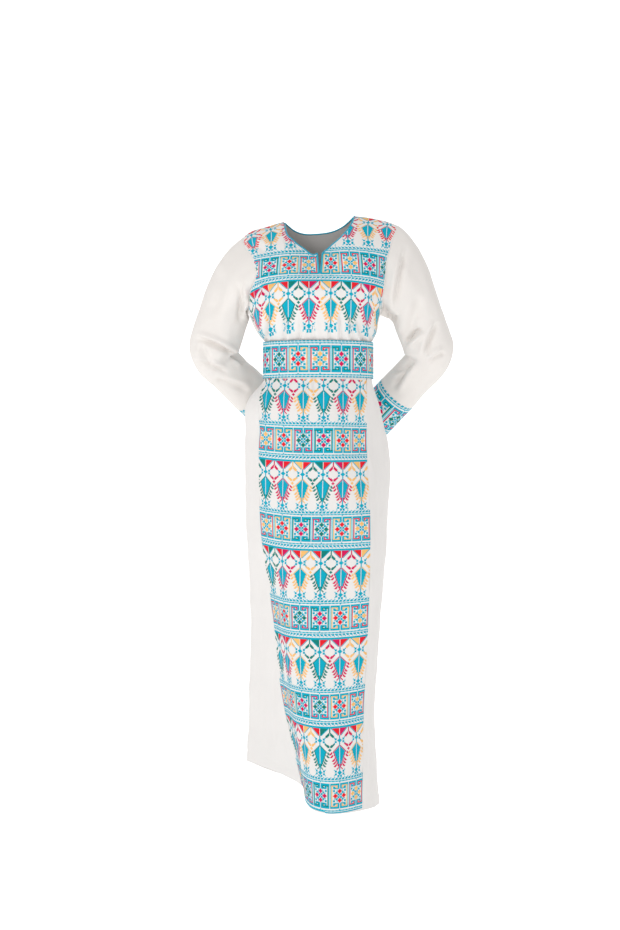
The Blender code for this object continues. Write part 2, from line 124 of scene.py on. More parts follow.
NECK_RIGHT, NECK_LEFT = -0.0825, 0.0868
NECK_SHARE = 5 / 12
SHOULDER_LINE = (
    # x, z
    (-0.190, -0.060),
    (-0.166, -0.040),
    (-0.125, -0.026),
    (NECK_RIGHT, -0.0138),
    (0.0, -0.006),
    (NECK_LEFT, 0.0),
    (0.123, -0.0045),
    (0.173, -0.0163),
    (0.200, -0.028),
)
FRONT_NECKLINE = (
    # x, z
    (NECK_RIGHT, -0.0138),
    (-0.0790, -0.0340),
    (-0.0602, -0.0650),
    (-0.0372, -0.0841),
    (-0.0031, -0.1000),
    (0.0070, -0.0935),
    (0.0285, -0.0782),
    (0.0574, -0.0532),
    (0.0781, -0.0237),
    (NECK_LEFT, 0.0),
)
BACK_NECKLINE = (
    # x, z
    (NECK_RIGHT, -0.0138),
    (-0.060, -0.030),
    (0.0, -0.038),
    (0.062, -0.020),
    (NECK_LEFT, 0.0),
)
RIDGE_GAP = 0.0005
SLIT_X = 0.003
SLIT_BOTTOM = -0.151
SLIT_WIDTH = 0.0095
SLIT_REACH = 0.030
SLIT_START = 0.010
BINDING_STEP = 0.0012

# Armhole edges on the wearer's right (-1) and left (1): how far they lie from the middle, front and back
ARMHOLES = {
    -1: (
        # z, front, back
        (-0.052, 0.1790, 0.1790),
        (-0.065, 0.1790, 0.1740),
        (-0.084, 0.1720, 0.1690),
        (-0.096, 0.1610, 0.1660),
        (-0.127, 0.1510, 0.1630),
        (-0.141, 0.1475, 0.1620),
        (-0.158, 0.1500, 0.1635),
        (-0.178, 0.1580, 0.1665),
        (-0.196, 0.1655, 0.1690),
        (-0.214, 0.1650, 0.1670),
        (-0.232, 0.1720, 0.1720),
    ),
    1: (
        # z, front, back
        (-0.0235, 0.1900, 0.1900),
        (-0.050, 0.1804, 0.1800),
        (-0.067, 0.1750, 0.1740),
        (-0.084, 0.1700, 0.1700),
        (-0.096, 0.1655, 0.1670),
        (-0.134, 0.1600, 0.1640),
        (-0.167, 0.1570, 0.1620),
        (-0.208, 0.1530, 0.1590),
        (-0.236, 0.1620, 0.1620),
    ),
}
ARMHOLE_STEPS = 160

# Arms of the dress: where the sleeve is first round, the elbow and the cuff's open end
ARMS = {
    -1: {"upper": (-0.225, 0.030, -0.228), "elbow": (-0.259, 0.056, -0.331), "end": (-0.096, 0.172, -0.483)},
    1: {"upper": (0.238, 0.030, -0.234), "elbow": (0.274, 0.056, -0.333), "end": (0.134, 0.166, -0.483)},
}
# Half sizes of the sleeve there, outwards and to the front
ARM_ROUND = {
    "upper": (0.0610, 0.056),
    "elbow": (0.0605, 0.050),
    "forearm": (0.0500, 0.041),
    "end": (0.0515, 0.040),
}
CUFF_LENGTH = 0.100
ELBOW_BEND = 0.030
CAP_OUT, CAP_DOWN = 0.60, 0.55

# ---------------------------------------------------------------- creases

# Creases pressed in, as seen from the front: each runs from x0, z0 to x1, z1 and bows sideways by bow.
# depth is how far its trough goes in, with a ridge beside it on the side that lean names (1 up or left, -1 down
# or right). face is -1 on the front of the dress and 1 on its back.
SLEEVE_FOLDS = {
    -1: (
        # x0, z0, x1, z1, bow, width, depth, lean, face
        (-0.300, -0.288, -0.185, -0.340, 0.004, 0.0065, 0.0062, 1, -1),
        (-0.284, -0.300, -0.252, -0.362, -0.004, 0.0080, 0.0034, -1, -1),
        (-0.306, -0.346, -0.215, -0.373, 0.003, 0.0055, 0.0036, 1, -1),
        (-0.256, -0.390, -0.160, -0.421, 0.004, 0.0080, 0.0034, 1, -1),
        (-0.190, -0.160, -0.190, -0.262, 0.006, 0.0070, 0.0040, 1, -1),
        (-0.232, -0.120, -0.262, -0.250, 0.008, 0.0160, 0.0026, 1, -1),
        (-0.205, -0.330, -0.178, -0.352, 0.002, 0.0060, 0.0030, -1, -1),
        (-0.296, -0.292, -0.200, -0.352, -0.006, 0.0075, 0.0058, 1, 1),
        (-0.300, -0.340, -0.190, -0.392, -0.004, 0.0080, 0.0040, 1, 1),
        (-0.262, -0.270, -0.200, -0.306, -0.003, 0.0080, 0.0036, 1, 1),
        (-0.205, -0.120, -0.236, -0.240, 0.008, 0.0140, 0.0034, 1, 1),
        (-0.230, -0.395, -0.150, -0.436, 0.003, 0.0080, 0.0030, 1, 1),
    ),
    1: (
        # x0, z0, x1, z1, bow, width, depth, lean, face
        (0.213, -0.070, 0.183, -0.232, -0.006, 0.0075, 0.0042, -1, -1),
        (0.2455, -0.190, 0.214, -0.305, -0.003, 0.0130, 0.0036, -1, -1),
        (0.250, -0.268, 0.203, -0.310, -0.003, 0.0060, 0.0058, 1, -1),
        (0.288, -0.250, 0.254, -0.338, -0.004, 0.0070, 0.0046, -1, -1),
        (0.236, -0.334, 0.178, -0.418, -0.003, 0.0075, 0.0046, 1, -1),
        (0.156, -0.232, 0.190, -0.246, 0.002, 0.0055, 0.0034, 1, -1),
        (0.310, -0.325, 0.262, -0.352, -0.004, 0.0065, 0.0034, -1, -1),
        (0.216, -0.352, 0.176, -0.372, 0.002, 0.0060, 0.0026, 1, -1),
        (0.308, -0.290, 0.214, -0.346, 0.006, 0.0075, 0.0058, -1, 1),
        (0.304, -0.338, 0.205, -0.392, 0.004, 0.0080, 0.0040, -1, 1),
        (0.268, -0.262, 0.214, -0.304, 0.003, 0.0080, 0.0036, -1, 1),
        (0.218, -0.110, 0.246, -0.236, -0.008, 0.0140, 0.0034, -1, 1),
        (0.246, -0.392, 0.172, -0.440, -0.003, 0.0080, 0.0030, -1, 1),
    ),
}
BODICE_FOLDS = (
    # x0, z0, x1, z1, bow, width, depth, lean, face
    (-0.119, -0.236, -0.126, -0.312, 0.001, 0.0042, 0.0036, 1, -1),
    (-0.0785, -0.240, -0.081, -0.312, 0.001, 0.0050, 0.0024, 1, -1),
    (-0.043, -0.244, -0.046, -0.312, 0.001, 0.0046, 0.0020, 1, -1),
    (-0.012, -0.262, -0.010, -0.312, 0.000, 0.0042, 0.0012, 1, -1),
    (0.024, -0.258, 0.027, -0.312, 0.001, 0.0045, 0.0014, -1, -1),
    (0.050, -0.236, 0.052, -0.312, 0.001, 0.0048, 0.0024, -1, -1),
    (0.074, -0.240, 0.078, -0.312, 0.001, 0.0044, 0.0022, -1, -1),
    (0.087, -0.250, 0.106, -0.312, 0.002, 0.0046, 0.0030, -1, -1),
    (0.118, -0.270, 0.127, -0.312, 0.001, 0.0042, 0.0024, -1, -1),
    (-0.150, -0.176, -0.112, -0.200, 0.003, 0.0070, 0.0022, 1, -1),
    (0.152, -0.176, 0.118, -0.206, -0.003, 0.0080, 0.0018, -1, -1),
    (-0.166, -0.070, -0.120, -0.098, 0.004, 0.0090, 0.0020, 1, -1),
    (-0.110, -0.230, -0.114, -0.312, 0.001, 0.0048, 0.0032, 1, 1),
    (-0.070, -0.222, -0.073, -0.312, 0.001, 0.0055, 0.0030, -1, 1),
    (-0.034, -0.238, -0.033, -0.312, 0.001, 0.0048, 0.0022, 1, 1),
    (0.006, -0.226, 0.004, -0.312, 0.001, 0.0050, 0.0026, -1, 1),
    (0.043, -0.240, 0.046, -0.312, 0.001, 0.0046, 0.0022, 1, 1),
    (0.081, -0.224, 0.086, -0.312, 0.001, 0.0052, 0.0032, -1, 1),
    (0.116, -0.248, 0.121, -0.312, 0.001, 0.0044, 0.0026, 1, 1),
    (-0.126, -0.090, -0.070, -0.170, 0.008, 0.0150, 0.0026, 1, 1),
    (0.132, -0.082, 0.078, -0.168, -0.008, 0.0150, 0.0026, -1, 1),
)
SKIRT_FOLDS = (
    # x0, z0, x1, z1, bow, width, depth, lean, face
    (-0.031, -0.380, -0.026, -0.446, 0.001, 0.0050, 0.0026, 1, -1),
    (-0.012, -0.380, -0.010, -0.432, 0.001, 0.0042, 0.0020, -1, -1),
    (0.020, -0.380, 0.022, -0.424, 0.001, 0.0050, 0.0012, -1, -1),
    (0.060, -0.380, 0.064, -0.428, 0.001, 0.0050, 0.0014, 1, -1),
    (-0.078, -0.380, -0.082, -0.436, 0.001, 0.0055, 0.0016, -1, -1),
    (-0.132, -0.400, -0.150, -0.560, 0.004, 0.0090, 0.0030, 1, -1),
    (-0.158, -0.480, -0.160, -0.860, 0.004, 0.0120, 0.0030, 1, -1),
    (-0.146, -0.760, -0.150, -1.300, 0.006, 0.0150, 0.0036, -1, -1),
    (-0.112, -1.020, -0.120, -1.330, 0.004, 0.0130, 0.0034, 1, -1),
    (0.122, -0.400, 0.140, -0.640, -0.004, 0.0080, 0.0026, -1, -1),
    (0.146, -0.560, 0.142, -1.000, 0.003, 0.0110, 0.0030, -1, -1),
    (0.128, -0.900, 0.124, -1.390, 0.003, 0.0100, 0.0030, 1, -1),
    (-0.104, -0.385, -0.118, -0.520, 0.001, 0.0060, 0.0040, 1, 1),
    (-0.064, -0.385, -0.070, -0.680, 0.003, 0.0085, 0.0052, -1, 1),
    (-0.028, -0.385, -0.026, -0.500, 0.001, 0.0060, 0.0036, 1, 1),
    (0.008, -0.385, 0.014, -0.760, 0.004, 0.0090, 0.0056, 1, 1),
    (0.046, -0.385, 0.050, -0.520, 0.001, 0.0060, 0.0036, -1, 1),
    (0.084, -0.385, 0.098, -0.700, 0.003, 0.0085, 0.0050, -1, 1),
    (-0.118, -0.600, -0.140, -1.290, 0.008, 0.0180, 0.0062, 1, 1),
    (-0.052, -0.720, -0.062, -1.350, 0.006, 0.0200, 0.0070, -1, 1),
    (0.040, -0.640, 0.032, -1.380, 0.005, 0.0190, 0.0066, 1, 1),
    (0.104, -0.780, 0.100, -1.390, 0.004, 0.0160, 0.0056, -1, 1),
)
# How much deeper than their depth the creases of each piece are pressed
SLEEVE_DEPTH = 2.5
BODICE_DEPTH = 2.4
SKIRT_DEPTH = 1.25
RIDGE_SHARE = 0.55
RIDGE_AWAY = 1.7
FOLD_TAPER = 0.30

# Slow unevenness of the white cloth: wavelengths along x and z, and height
RIPPLES = (
    # across, along, height
    (0.083, 0.210, 0.00075),
    (0.047, 0.120, 0.00045),
    (0.031, 0.064, 0.00025),
)

# How far the cloth is drawn in along a seam and along the hem's stitched line, and how far to each side
SEAM_DIP, SEAM_REACH = 0.0010, 0.0035
HEM_DIP, HEM_REACH = 0.0006, 0.0030
HEM_FOLD = 0.026

# The camera stands this far off, and sees this much height there
CAMERA_DISTANCE = 5.0
FRAME_HEIGHT = 2.2227

# Painted shade on the sleeves: their white is made a little warmer and darker than the rest, matched to the sleeve
# the key light leaves in shade
SLEEVE_SHADE_TINT = (1.0, 0.984, 0.966)

# How finely the shells are divided
PANEL_GRID = (220, 110)
SIDE_GRID = (230, 44)
BACK_GRID = (230, 72)
BODICE_GRID = (100, 56)
BLOUSE_ROWS = 20
SLEEVE_AROUND = 144
CAP_RINGS = 46
UPPER_RINGS = 32
BEND_RINGS = 38
FOREARM_RINGS = 42
CUFF_GRID = (30, 110)
BELT_GRID = (24, 308)

# ---------------------------------------------------------------- cross-stitch charts

TURQUOISE, PALE, GREEN, MAGENTA, RED, YELLOW = range(6)
THREADS = ("turquoise", "pale", "green", "magenta", "red", "yellow")
BARE = -1
MOTIF = 22
HALF_MOTIF = MOTIF // 2
PANEL_MOTIFS = 6
PANEL_CELL = PANEL_WIDTH / (PANEL_MOTIFS * MOTIF)
PANEL_ROW = 0.206 / 97
FIRST_BOX_BAND = -0.492
BODICE_CELL = 0.00222
BODICE_CELLS = 104

# A quarter of the box motif, from its top edge to its middle and from its axis outwards.
# T turquoise, L pale, B the bracket's colour, S the star's colour
BOX_CHART = (
    ".TTTTTTTTTT.",
    ".TTTTTTTTTT.",
    ".TTBBBBBBBT.",
    ".TTB..TT.BL.",
    ".TTBBTTT.BL.",
    ".LTTTTTL.BL.",
    "S........BL.",
    "SS.L..TT.BL.",
    "SSSL..TT.BL.",
    "SS.TT....BL.",
    "S..TTLL..BL.",
    ".TT..S...BL.",
    ".TT.SSS..BL.",
    "L..SSSSS.BL.",
)
# Half of the tree motif, from its line of triangles down to its star and from its axis outwards.
# T turquoise, L pale, P the triangle's colour, V the leaf pair's colour, C the tree's own colour
TREE_CHART = (
    "TTTTTTTTTTTT",
    ".PPPPPPPPT.V",
    ".PPPPPPPT..V",
    ".PPPPPPT...V",
    ".PPPPPT....V",
    ".PPPPT.....V",
    ".PPPT.....V.",
    ".PPT.....VV.",
    ".PT.....VVV.",
    "T......VVV..",
    "T......VV...",
    "T.....T.....",
    "T...TT......",
    "TT..TT......",
    "TTT.........",
    "TT..TT......",
    "T...TT......",
    "T.....T.....",
    "T.....VV....",
    "T......VVV..",
    "TC......VVV.",
    ".TC......VV.",
    ".TTC........",
    ".TTTC......V",
    ".TTTTC....VV",
    ".TTTTTC....V",
    ".TTTTTTC....",
    ".TTTTTTC.C..",
    ".TTTTTC..CC.",
    ".TTTTTC...CC",
    ".TTTTTC.C...",
    ".TTTTC..CC..",
    ".TTTTC...CC.",
    ".TTTTC......",
    ".TTTC.C.....",
    ".TTTC.CC....",
    ".TTTC..CC...",
    ".TTC.C......",
    ".TTC.CC.....",
    ".TTC..CC....",
    "TCC.C.......",
    "TCC.CC......",
    "TC...CC.....",
    "TC..........",
    "T.C.........",
    "T..C........",
    "T.....L.....",
    "T...TT......",
    "TT..TT......",
    "TTT.........",
    "TT..TT......",
    "T...TT......",
    ".TT...L.....",
    ".TT.........",
)
BOX_ROWS = 2 * len(BOX_CHART) - 1
BORDER_ABOVE, BORDER_BELOW = 7, 9
BAND_ROWS = BORDER_ABOVE + BOX_ROWS + BORDER_BELOW
REPEAT_ROWS = BAND_ROWS + len(TREE_CHART)
BELT_BORDER = 5
CUFF_BORDER = 6

# Bracket and star of each box, from the wearer's right to left
PANEL_BOXES = (
    ((RED, YELLOW), (YELLOW, RED), (MAGENTA, GREEN), (GREEN, MAGENTA), (YELLOW, RED), (RED, YELLOW)),
    ((RED, YELLOW), (YELLOW, RED), (GREEN, MAGENTA), (MAGENTA, GREEN), (YELLOW, RED), (RED, YELLOW)),
)
PANEL_TREES = (GREEN, MAGENTA, YELLOW, GREEN, MAGENTA, YELLOW)
BELT_BOXES = ((RED, YELLOW), (GREEN, MAGENTA), (MAGENTA, GREEN), (YELLOW, RED))
BELT_PHASE = 0.0145
CUFF_BOXES = ((MAGENTA, GREEN), (GREEN, MAGENTA))
# The bodice's boxes and trees on each side, from the middle outwards
BODICE_BOXES = {
    -1: ((RED, YELLOW), (YELLOW, RED), (GREEN, MAGENTA), (MAGENTA, GREEN)),
    1: ((YELLOW, RED), (RED, YELLOW), (GREEN, MAGENTA), (MAGENTA, GREEN)),
}
BODICE_TREES = {-1: (MAGENTA, GREEN, YELLOW), 1: (YELLOW, GREEN, MAGENTA)}
SHOULDER_TREES = (MAGENTA, MAGENTA, YELLOW, RED)

# Bodice rows on each side: a row's edge at the middle, how quickly it droops outwards, and how it curls at the side
BODICE_ROWS = {
    -1: (
        # row, z, droop, curl
        (-54, -0.010, 1.00, 0),
        (-40, -0.022, 1.00, 0),
        (-32, -0.0305, 1.00, 0),
        (-5, -0.0745, 0.50, 0),
        (0, -0.0870, 0.55, 0),
        (7, -0.1030, 0.35, 2),
        (34, -0.1490, 0.00, 20),
        (43, -0.1640, 0.00, 34),
        (57.5, -0.1945, 0.00, 36),
        (92.5, -0.2690, 0.00, 32),
        (97, -0.2850, 0.00, 28),
    ),
    1: (
        # row, z, droop, curl
        (-54, -0.004, 0.15, 0),
        (-40, -0.018, 0.15, 0),
        (-32, -0.0255, 0.20, 0),
        (-5, -0.0670, 0.15, 0),
        (0, -0.0810, 0.20, 0),
        (7, -0.0945, 0.00, 16),
        (34, -0.1490, 0.00, 16),
        (43, -0.1640, 0.35, 10),
        (57.5, -0.1945, 0.10, 34),
        (92.5, -0.2690, 0.00, 38),
        (97, -0.2850, 0.00, 34),
    ),
}
# Panel rows: how far they stand above their level at the middle and at the wearer's right and left edges
PANEL_ROW_SHAPE = (
    # z, middle, right, left
    (-1.400, 0.0000, -0.0040, 0.0050),
    (-1.200, -0.0020, -0.0065, 0.0065),
    (-0.995, -0.0035, -0.0017, 0.0039),
    (-0.790, -0.0035, 0.0063, 0.0003),
    (-0.583, -0.0030, 0.0054, -0.0015),
    (-0.460, -0.0015, 0.0040, -0.0030),
    (-0.348, -0.0015, 0.0040, -0.0030),
)
ROW_RISE_POWER = 3.0
HEM_MARGIN = 0.0015
EDGE_MARGIN = 0.0025
NECK_MARGIN = 0.0030
STITCH_INSET = -0.30
STITCH_FOOT = 0.00010

# ---------------------------------------------------------------- sizes and colours a user may change


class ThobeSizes(bpy.types.PropertyGroup):
    """Sizes of cloth and thread."""

    wall: FloatProperty(
        name="Cloth", description="Thickness of the cloth", default=0.0013, min=0.0005, unit="LENGTH"
    )
    stitch: FloatProperty(
        name="Stitch height",
        description="How far a cross stitch stands above the cloth",
        default=0.00030,
        min=0.0001,
        unit="LENGTH",
    )
    weave: FloatProperty(
        name="Weave pitch", description="Distance between two threads of the cloth", default=0.00055, unit="LENGTH"
    )
    binding: FloatProperty(
        name="Binding radius", description="Radius of the corded neck binding", default=0.0018, unit="LENGTH"
    )
    folds: FloatProperty(
        name="Folds", description="How deeply the creases are pressed, 1 as worn", default=1.0, subtype="FACTOR"
    )


def colour(name, description, value):
    return FloatVectorProperty(
        name=name, description=description, default=value, size=3, min=0.0, max=1.0, subtype="COLOR"
    )


class ThobeColours(bpy.types.PropertyGroup):
    """Colours of cloth, threads and stage."""

    cloth: colour("Cloth", "White of the plain cloth", (0.768, 0.744, 0.724))
    turquoise: colour("Turquoise", "Main thread", (0.001, 0.385, 0.530))
    pale: colour("Pale turquoise", "Second thread of the borders", (0.120, 0.560, 0.670))
    green: colour("Green", "Thread of the green motifs", (0.006, 0.200, 0.170))
    magenta: colour("Magenta", "Thread of the magenta motifs", (0.640, 0.008, 0.095))
    red: colour("Red", "Thread of the red motifs", (0.780, 0.014, 0.026))
    yellow: colour("Yellow", "Thread of the yellow motifs", (0.900, 0.500, 0.165))
    binding: colour("Binding", "Cord round the neck", (0.008, 0.400, 0.570))
    stage: colour("Stage", "Floor and backdrop", (0.930, 0.930, 0.930))


# ---------------------------------------------------------------- curves and sections


def smooth(xs, ys, x):
    """Reads at x a smooth curve through the points (xs, ys)."""
    xs = np.asarray(xs, float)
    ys = np.asarray(ys, float)
    slopes = np.gradient(ys, xs, axis=0)
    x = np.clip(np.asarray(x, float), xs[0], xs[-1])
    i = np.clip(np.searchsorted(xs, x, side="right") - 1, 0, len(xs) - 2)
    spread = x.shape + (1,) * (ys.ndim - 1)
    step = (xs[i + 1] - xs[i]).reshape(spread)
    t = (x - xs[i]).reshape(spread) / step
    return (
        (1 + 2 * t) * (1 - t) ** 2 * ys[i]
        + t * (1 - t) ** 2 * step * slopes[i]
        + t * t * (3 - 2 * t) * ys[i + 1]
        + t * t * (t - 1) * step * slopes[i + 1]
    )


def table(rows):
    """A smooth curve's points, given as rows, in rising order."""
    found = np.array(sorted(rows), float)
    return found[:, 0], found[:, 1:]


def ease(x):
    x = np.clip(x, 0.0, 1.0)
    return x * x * (3 - 2 * x)


def unit(vectors):
    return vectors / np.maximum(np.linalg.norm(vectors, axis=-1, keepdims=True), 1e-12)


def run_along(points):
    """Distance of each point of a line from its start."""
    return np.concatenate([[0.0], np.cumsum(np.linalg.norm(np.diff(points, axis=0), axis=1))])


def sample(points, along, where):
    return np.stack([np.interp(where, along, points[:, k]) for k in range(points.shape[1])], axis=-1)


def grid_normals(grid, closed=False):
    """Directions off a grid of points, by the right hand from its columns to its rows."""
    if closed:
        around = np.concatenate([grid[:, -2:-1], grid, grid[:, 1:2]], axis=1)
        across = (around[:, 2:] - around[:, :-2]) / 2
    else:
        across = np.gradient(grid, axis=1)
    return unit(np.cross(across, np.gradient(grid, axis=0)))


# ---------------------------------------------------------------- skirt form


@functools.lru_cache(maxsize=None)
def skirt_outline(z):
    """A closed curve at height z as x, y and hem rise, and its distance from the panel's middle."""
    heights = sorted(SKIRT_SECTIONS)
    places = smooth(heights, [SKIRT_SECTIONS[height] for height in heights], z)
    anchors = np.column_stack([places, HEM_RISE])
    count = len(anchors)
    spans = np.sqrt(np.linalg.norm((np.roll(anchors, -1, axis=0) - anchors)[:, :2], axis=1))
    t = (np.arange(OUTLINE_STEPS) / OUTLINE_STEPS)[:, None]
    stretches = []
    for i in range(count):
        p0, p1, p2, p3 = (anchors[(i + k) % count] for k in (-1, 0, 1, 2))
        d0, d1, d2 = spans[i - 1], spans[i], spans[(i + 1) % count]
        m1 = d1 * ((p1 - p0) / d0 - (p2 - p0) / (d0 + d1) + (p2 - p1) / d1)
        m2 = d1 * ((p2 - p1) / d1 - (p3 - p1) / (d1 + d2) + (p3 - p2) / d2)
        stretches.append(
            (1 + 2 * t) * (1 - t) ** 2 * p1
            + t * (1 - t) ** 2 * m1
            + t * t * (3 - 2 * t) * p2
            + t * t * (t - 1) * m2
        )
    points = np.vstack([*stretches, anchors[:1]])
    return points, run_along(points[:, :2])


def skirt_spans(z):
    """Where each skirt piece starts and ends along the section at height z."""
    girth = skirt_outline(z)[1][-1]
    half = PANEL_WIDTH / 2
    side = (girth - PANEL_WIDTH) * SIDE_PANEL
    return {
        "panel": (-half, half),
        "side_left": (half, half + side),
        "back": (half + side, girth - half - side),
        "side_right": (girth - half - side, girth - half),
    }


def skirt_grid(piece, shares, rows):
    """Points of a skirt piece: rows from the hem up, and columns at these shares of its width."""
    grid = []
    for z in np.linspace(HEM, WAIST, rows):
        z = round(float(z), 6)
        fall = (WAIST - z) / (WAIST - HEM)
        start, end = skirt_spans(z)[piece]
        places = start + SEAM_GAP / 2 + np.asarray(shares) * (end - start - SEAM_GAP)
        points, along = skirt_outline(z)
        found = sample(points, along, np.mod(places, along[-1]))
        grid.append(np.column_stack([found[:, :2], z + found[:, 2] * fall**HEM_RISE_POWER]))
    return np.array(grid)


# ---------------------------------------------------------------- torso form


def shoulder_height(x):
    xs, zs = table(SHOULDER_LINE)
    return smooth(xs, zs[:, 0], x)


def top_height(x, front):
    """The bodice's upper edge at x: the neckline between the shoulders, and the shoulder line outside it."""
    xs, zs = table(FRONT_NECKLINE if front else BACK_NECKLINE)
    between = (x >= NECK_RIGHT) & (x <= NECK_LEFT)
    return np.where(between, smooth(xs, zs[:, 0], x), shoulder_height(x))


def armhole_x(z, side, front):
    """How far out the bodice reaches on this side at height z."""
    zs, edges = table(ARMHOLES[side])
    heights, sections = table(TORSO_SECTIONS)
    section = smooth(heights, sections, z)
    reach = section[..., 1] + side * section[..., 0]
    edge = smooth(zs, edges[:, 0 if front else 1], z)
    return np.where(z < zs[0], reach, np.minimum(edge, reach))


def torso_points(x, z, front):
    """Points of the torso's form at x and z, on its front or its back."""
    x, z = np.broadcast_arrays(np.asarray(x, float), np.asarray(z, float))
    heights, sections = table(TORSO_SECTIONS)
    centre, half_width, front_depth, back_depth, square = np.moveaxis(smooth(heights, sections, z), -1, 0)
    out = np.minimum(np.abs(x - centre) / half_width, 1.0)
    depth = (1 - out**square) ** (1 / square)
    ridge = shoulder_height(x)
    rise = np.clip((z - BUST) / (ridge - BUST), 0.0, 1.0)
    at_side = ease((np.abs(x) - NECK_SLOPE_FROM) / NECK_SLOPE_OVER) if front else 1.0
    power = NECK_SLOPE_POWER + (SHOULDER_SLOPE_POWER - NECK_SLOPE_POWER) * at_side
    depth = depth * (1 - rise**power) ** (1 / power)
    y = -front_depth * depth - RIDGE_GAP / 2 if front else back_depth * depth + RIDGE_GAP / 2
    return np.stack([x, y, z], axis=-1)


def torso_normals(x, z, front):
    step = 0.0015
    across = torso_points(x + step, z, front) - torso_points(x - step, z, front)
    up = torso_points(x, z + step, front) - torso_points(x, z - step, front)
    normals = unit(np.cross(across, up))
    return normals if front else -normals


def bodice_surface(x, z, side, front):
    """Points of the bodice's outer face, with its creases, and with the neck slit standing open."""
    points = torso_points(x, z, front)
    normals = torso_normals(x, z, front)
    points = points + normals * (BODICE_DEPTH * pressed(points, normals, BODICE_FOLDS))[..., None]
    if front:
        above = np.maximum(z - SLIT_BOTTOM, 0.0)
        opened = BINDING_STEP * ease(above / SLIT_START)
        opened = opened + SLIT_WIDTH / 2 * above / (top_height(np.array(SLIT_X), True) - SLIT_BOTTOM)
        near = np.clip(1 - np.abs(x - SLIT_X) / SLIT_REACH, 0.0, 1.0)
        points[..., 0] += side * opened * near
    return points


def column_share(column, rise, side):
    """How far out a column lies, as a share of the edge: crowded outwards below, on the neck point above."""
    low = np.sin(column * math.pi / 2)
    neck = (NECK_LEFT if side > 0 else -NECK_RIGHT) / ARMHOLES[side][0][1]
    inside = neck * column / NECK_SHARE
    outside = neck + (1 - neck) * (column - NECK_SHARE) / (1 - NECK_SHARE)
    high = np.where(column <= NECK_SHARE, inside, outside)
    return low + (high - low) * rise * rise


def bodice_grid(side, front):
    """One half of the bodice: rows from the waist up, and columns from the middle out."""
    rows, columns = BODICE_GRID
    column = np.linspace(0.0, 1.0, columns + 1)[None, :]
    tip = ARMHOLES[side][0][0]
    blouse = np.linspace(BLOUSE_FROM, BLOUSE_TO, BLOUSE_ROWS)[:-1, None]
    share = column_share(column, 0.0, side)
    low_x = SLIT_X * (1 - share) + side * armhole_x(blouse, side, front) * share
    low_z = np.broadcast_to(blouse, low_x.shape)
    rise = 1 - (1 - np.linspace(0.0, 1.0, rows)[:, None]) ** 1.15
    share = column_share(column, rise, side)
    edge = armhole_x(BLOUSE_TO + rise * (tip - BLOUSE_TO), side, front)
    high_x = SLIT_X * (1 - share) + side * edge * share
    x_top = SLIT_X + (side * ARMHOLES[side][0][1] - SLIT_X) * column_share(column, 1.0, side)
    top = top_height(x_top, front)
    top[:, -1] = tip
    high_z = BLOUSE_TO + rise * (top - BLOUSE_TO)
    x = np.vstack([low_x, high_x])
    z = np.vstack([low_z, high_z])
    edge = armhole_x(z, side, front)
    return bodice_surface(np.clip(x, -edge, edge), z, side, front)


# ---------------------------------------------------------------- sleeve form


def armhole_loop(side, around):
    """The sleeve's first ring: from the shoulder tip down the front, under the arm and up the back."""
    heights = np.linspace(ARMHOLES[side][0][0], ARMHOLES[side][-1][0], ARMHOLE_STEPS)
    front = torso_points(side * armhole_x(heights, side, True), heights, True)
    back = torso_points(side * armhole_x(heights, side, False), heights, False)[::-1]
    loop = []
    for line in (front, back):
        along = run_along(line)
        loop.append(sample(line, along, np.linspace(0.0, along[-1], around // 2 + 1)[:-1]))
    loop = np.vstack(loop)
    return np.vstack([loop, loop[:1]])


def arm_ring(centre, direction, half_sizes, side, around):
    ahead = np.array([0.0, -1.0, 0.0])
    ahead = unit(ahead - direction * ahead.dot(direction))
    outward = unit(np.cross(ahead, direction)) * side
    turn = np.linspace(0.0, 2 * math.pi, around + 1)[:, None]
    return centre + outward * half_sizes[0] * np.cos(turn) + ahead * half_sizes[1] * np.sin(turn)


def arm_path(side):
    """The arm's three stops, its direction down to the elbow and its direction on from there."""
    upper, elbow, end = (np.array(ARMS[side][name]) for name in ("upper", "elbow", "end"))
    return upper, elbow, end, unit(elbow - upper), unit(end - elbow)


def arm_stations(side):
    """Centre, direction and half sizes at each ring from the round upper sleeve to the cuff's seam."""
    upper, elbow, end, down, back = arm_path(side)
    sizes = {name: np.array(value) for name, value in ARM_ROUND.items()}
    start, stop = elbow - down * ELBOW_BEND, elbow + back * ELBOW_BEND
    cuff = end - back * CUFF_LENGTH
    stations = []
    for t in np.linspace(0.0, 1.0, UPPER_RINGS + 1)[:-1]:
        stations.append((upper + (start - upper) * t, down, sizes["upper"] + (sizes["elbow"] - sizes["upper"]) * t))
    for t in np.linspace(0.0, 1.0, BEND_RINGS + 1)[:-1]:
        centre = (1 - t) ** 2 * start + 2 * t * (1 - t) * elbow + t * t * stop
        direction = unit((1 - t) * (elbow - start) + t * (stop - elbow))
        half = sizes["elbow"] * (1 - ease(t)) + sizes["forearm"] * ease(t)
        stations.append((centre, direction, half))
    for t in np.linspace(0.0, 1.0, FOREARM_RINGS + 1):
        half = sizes["forearm"] + (sizes["end"] - sizes["forearm"]) * ease(2 * t - 1)
        stations.append((stop + (cuff - stop) * t, back, half))
    return stations


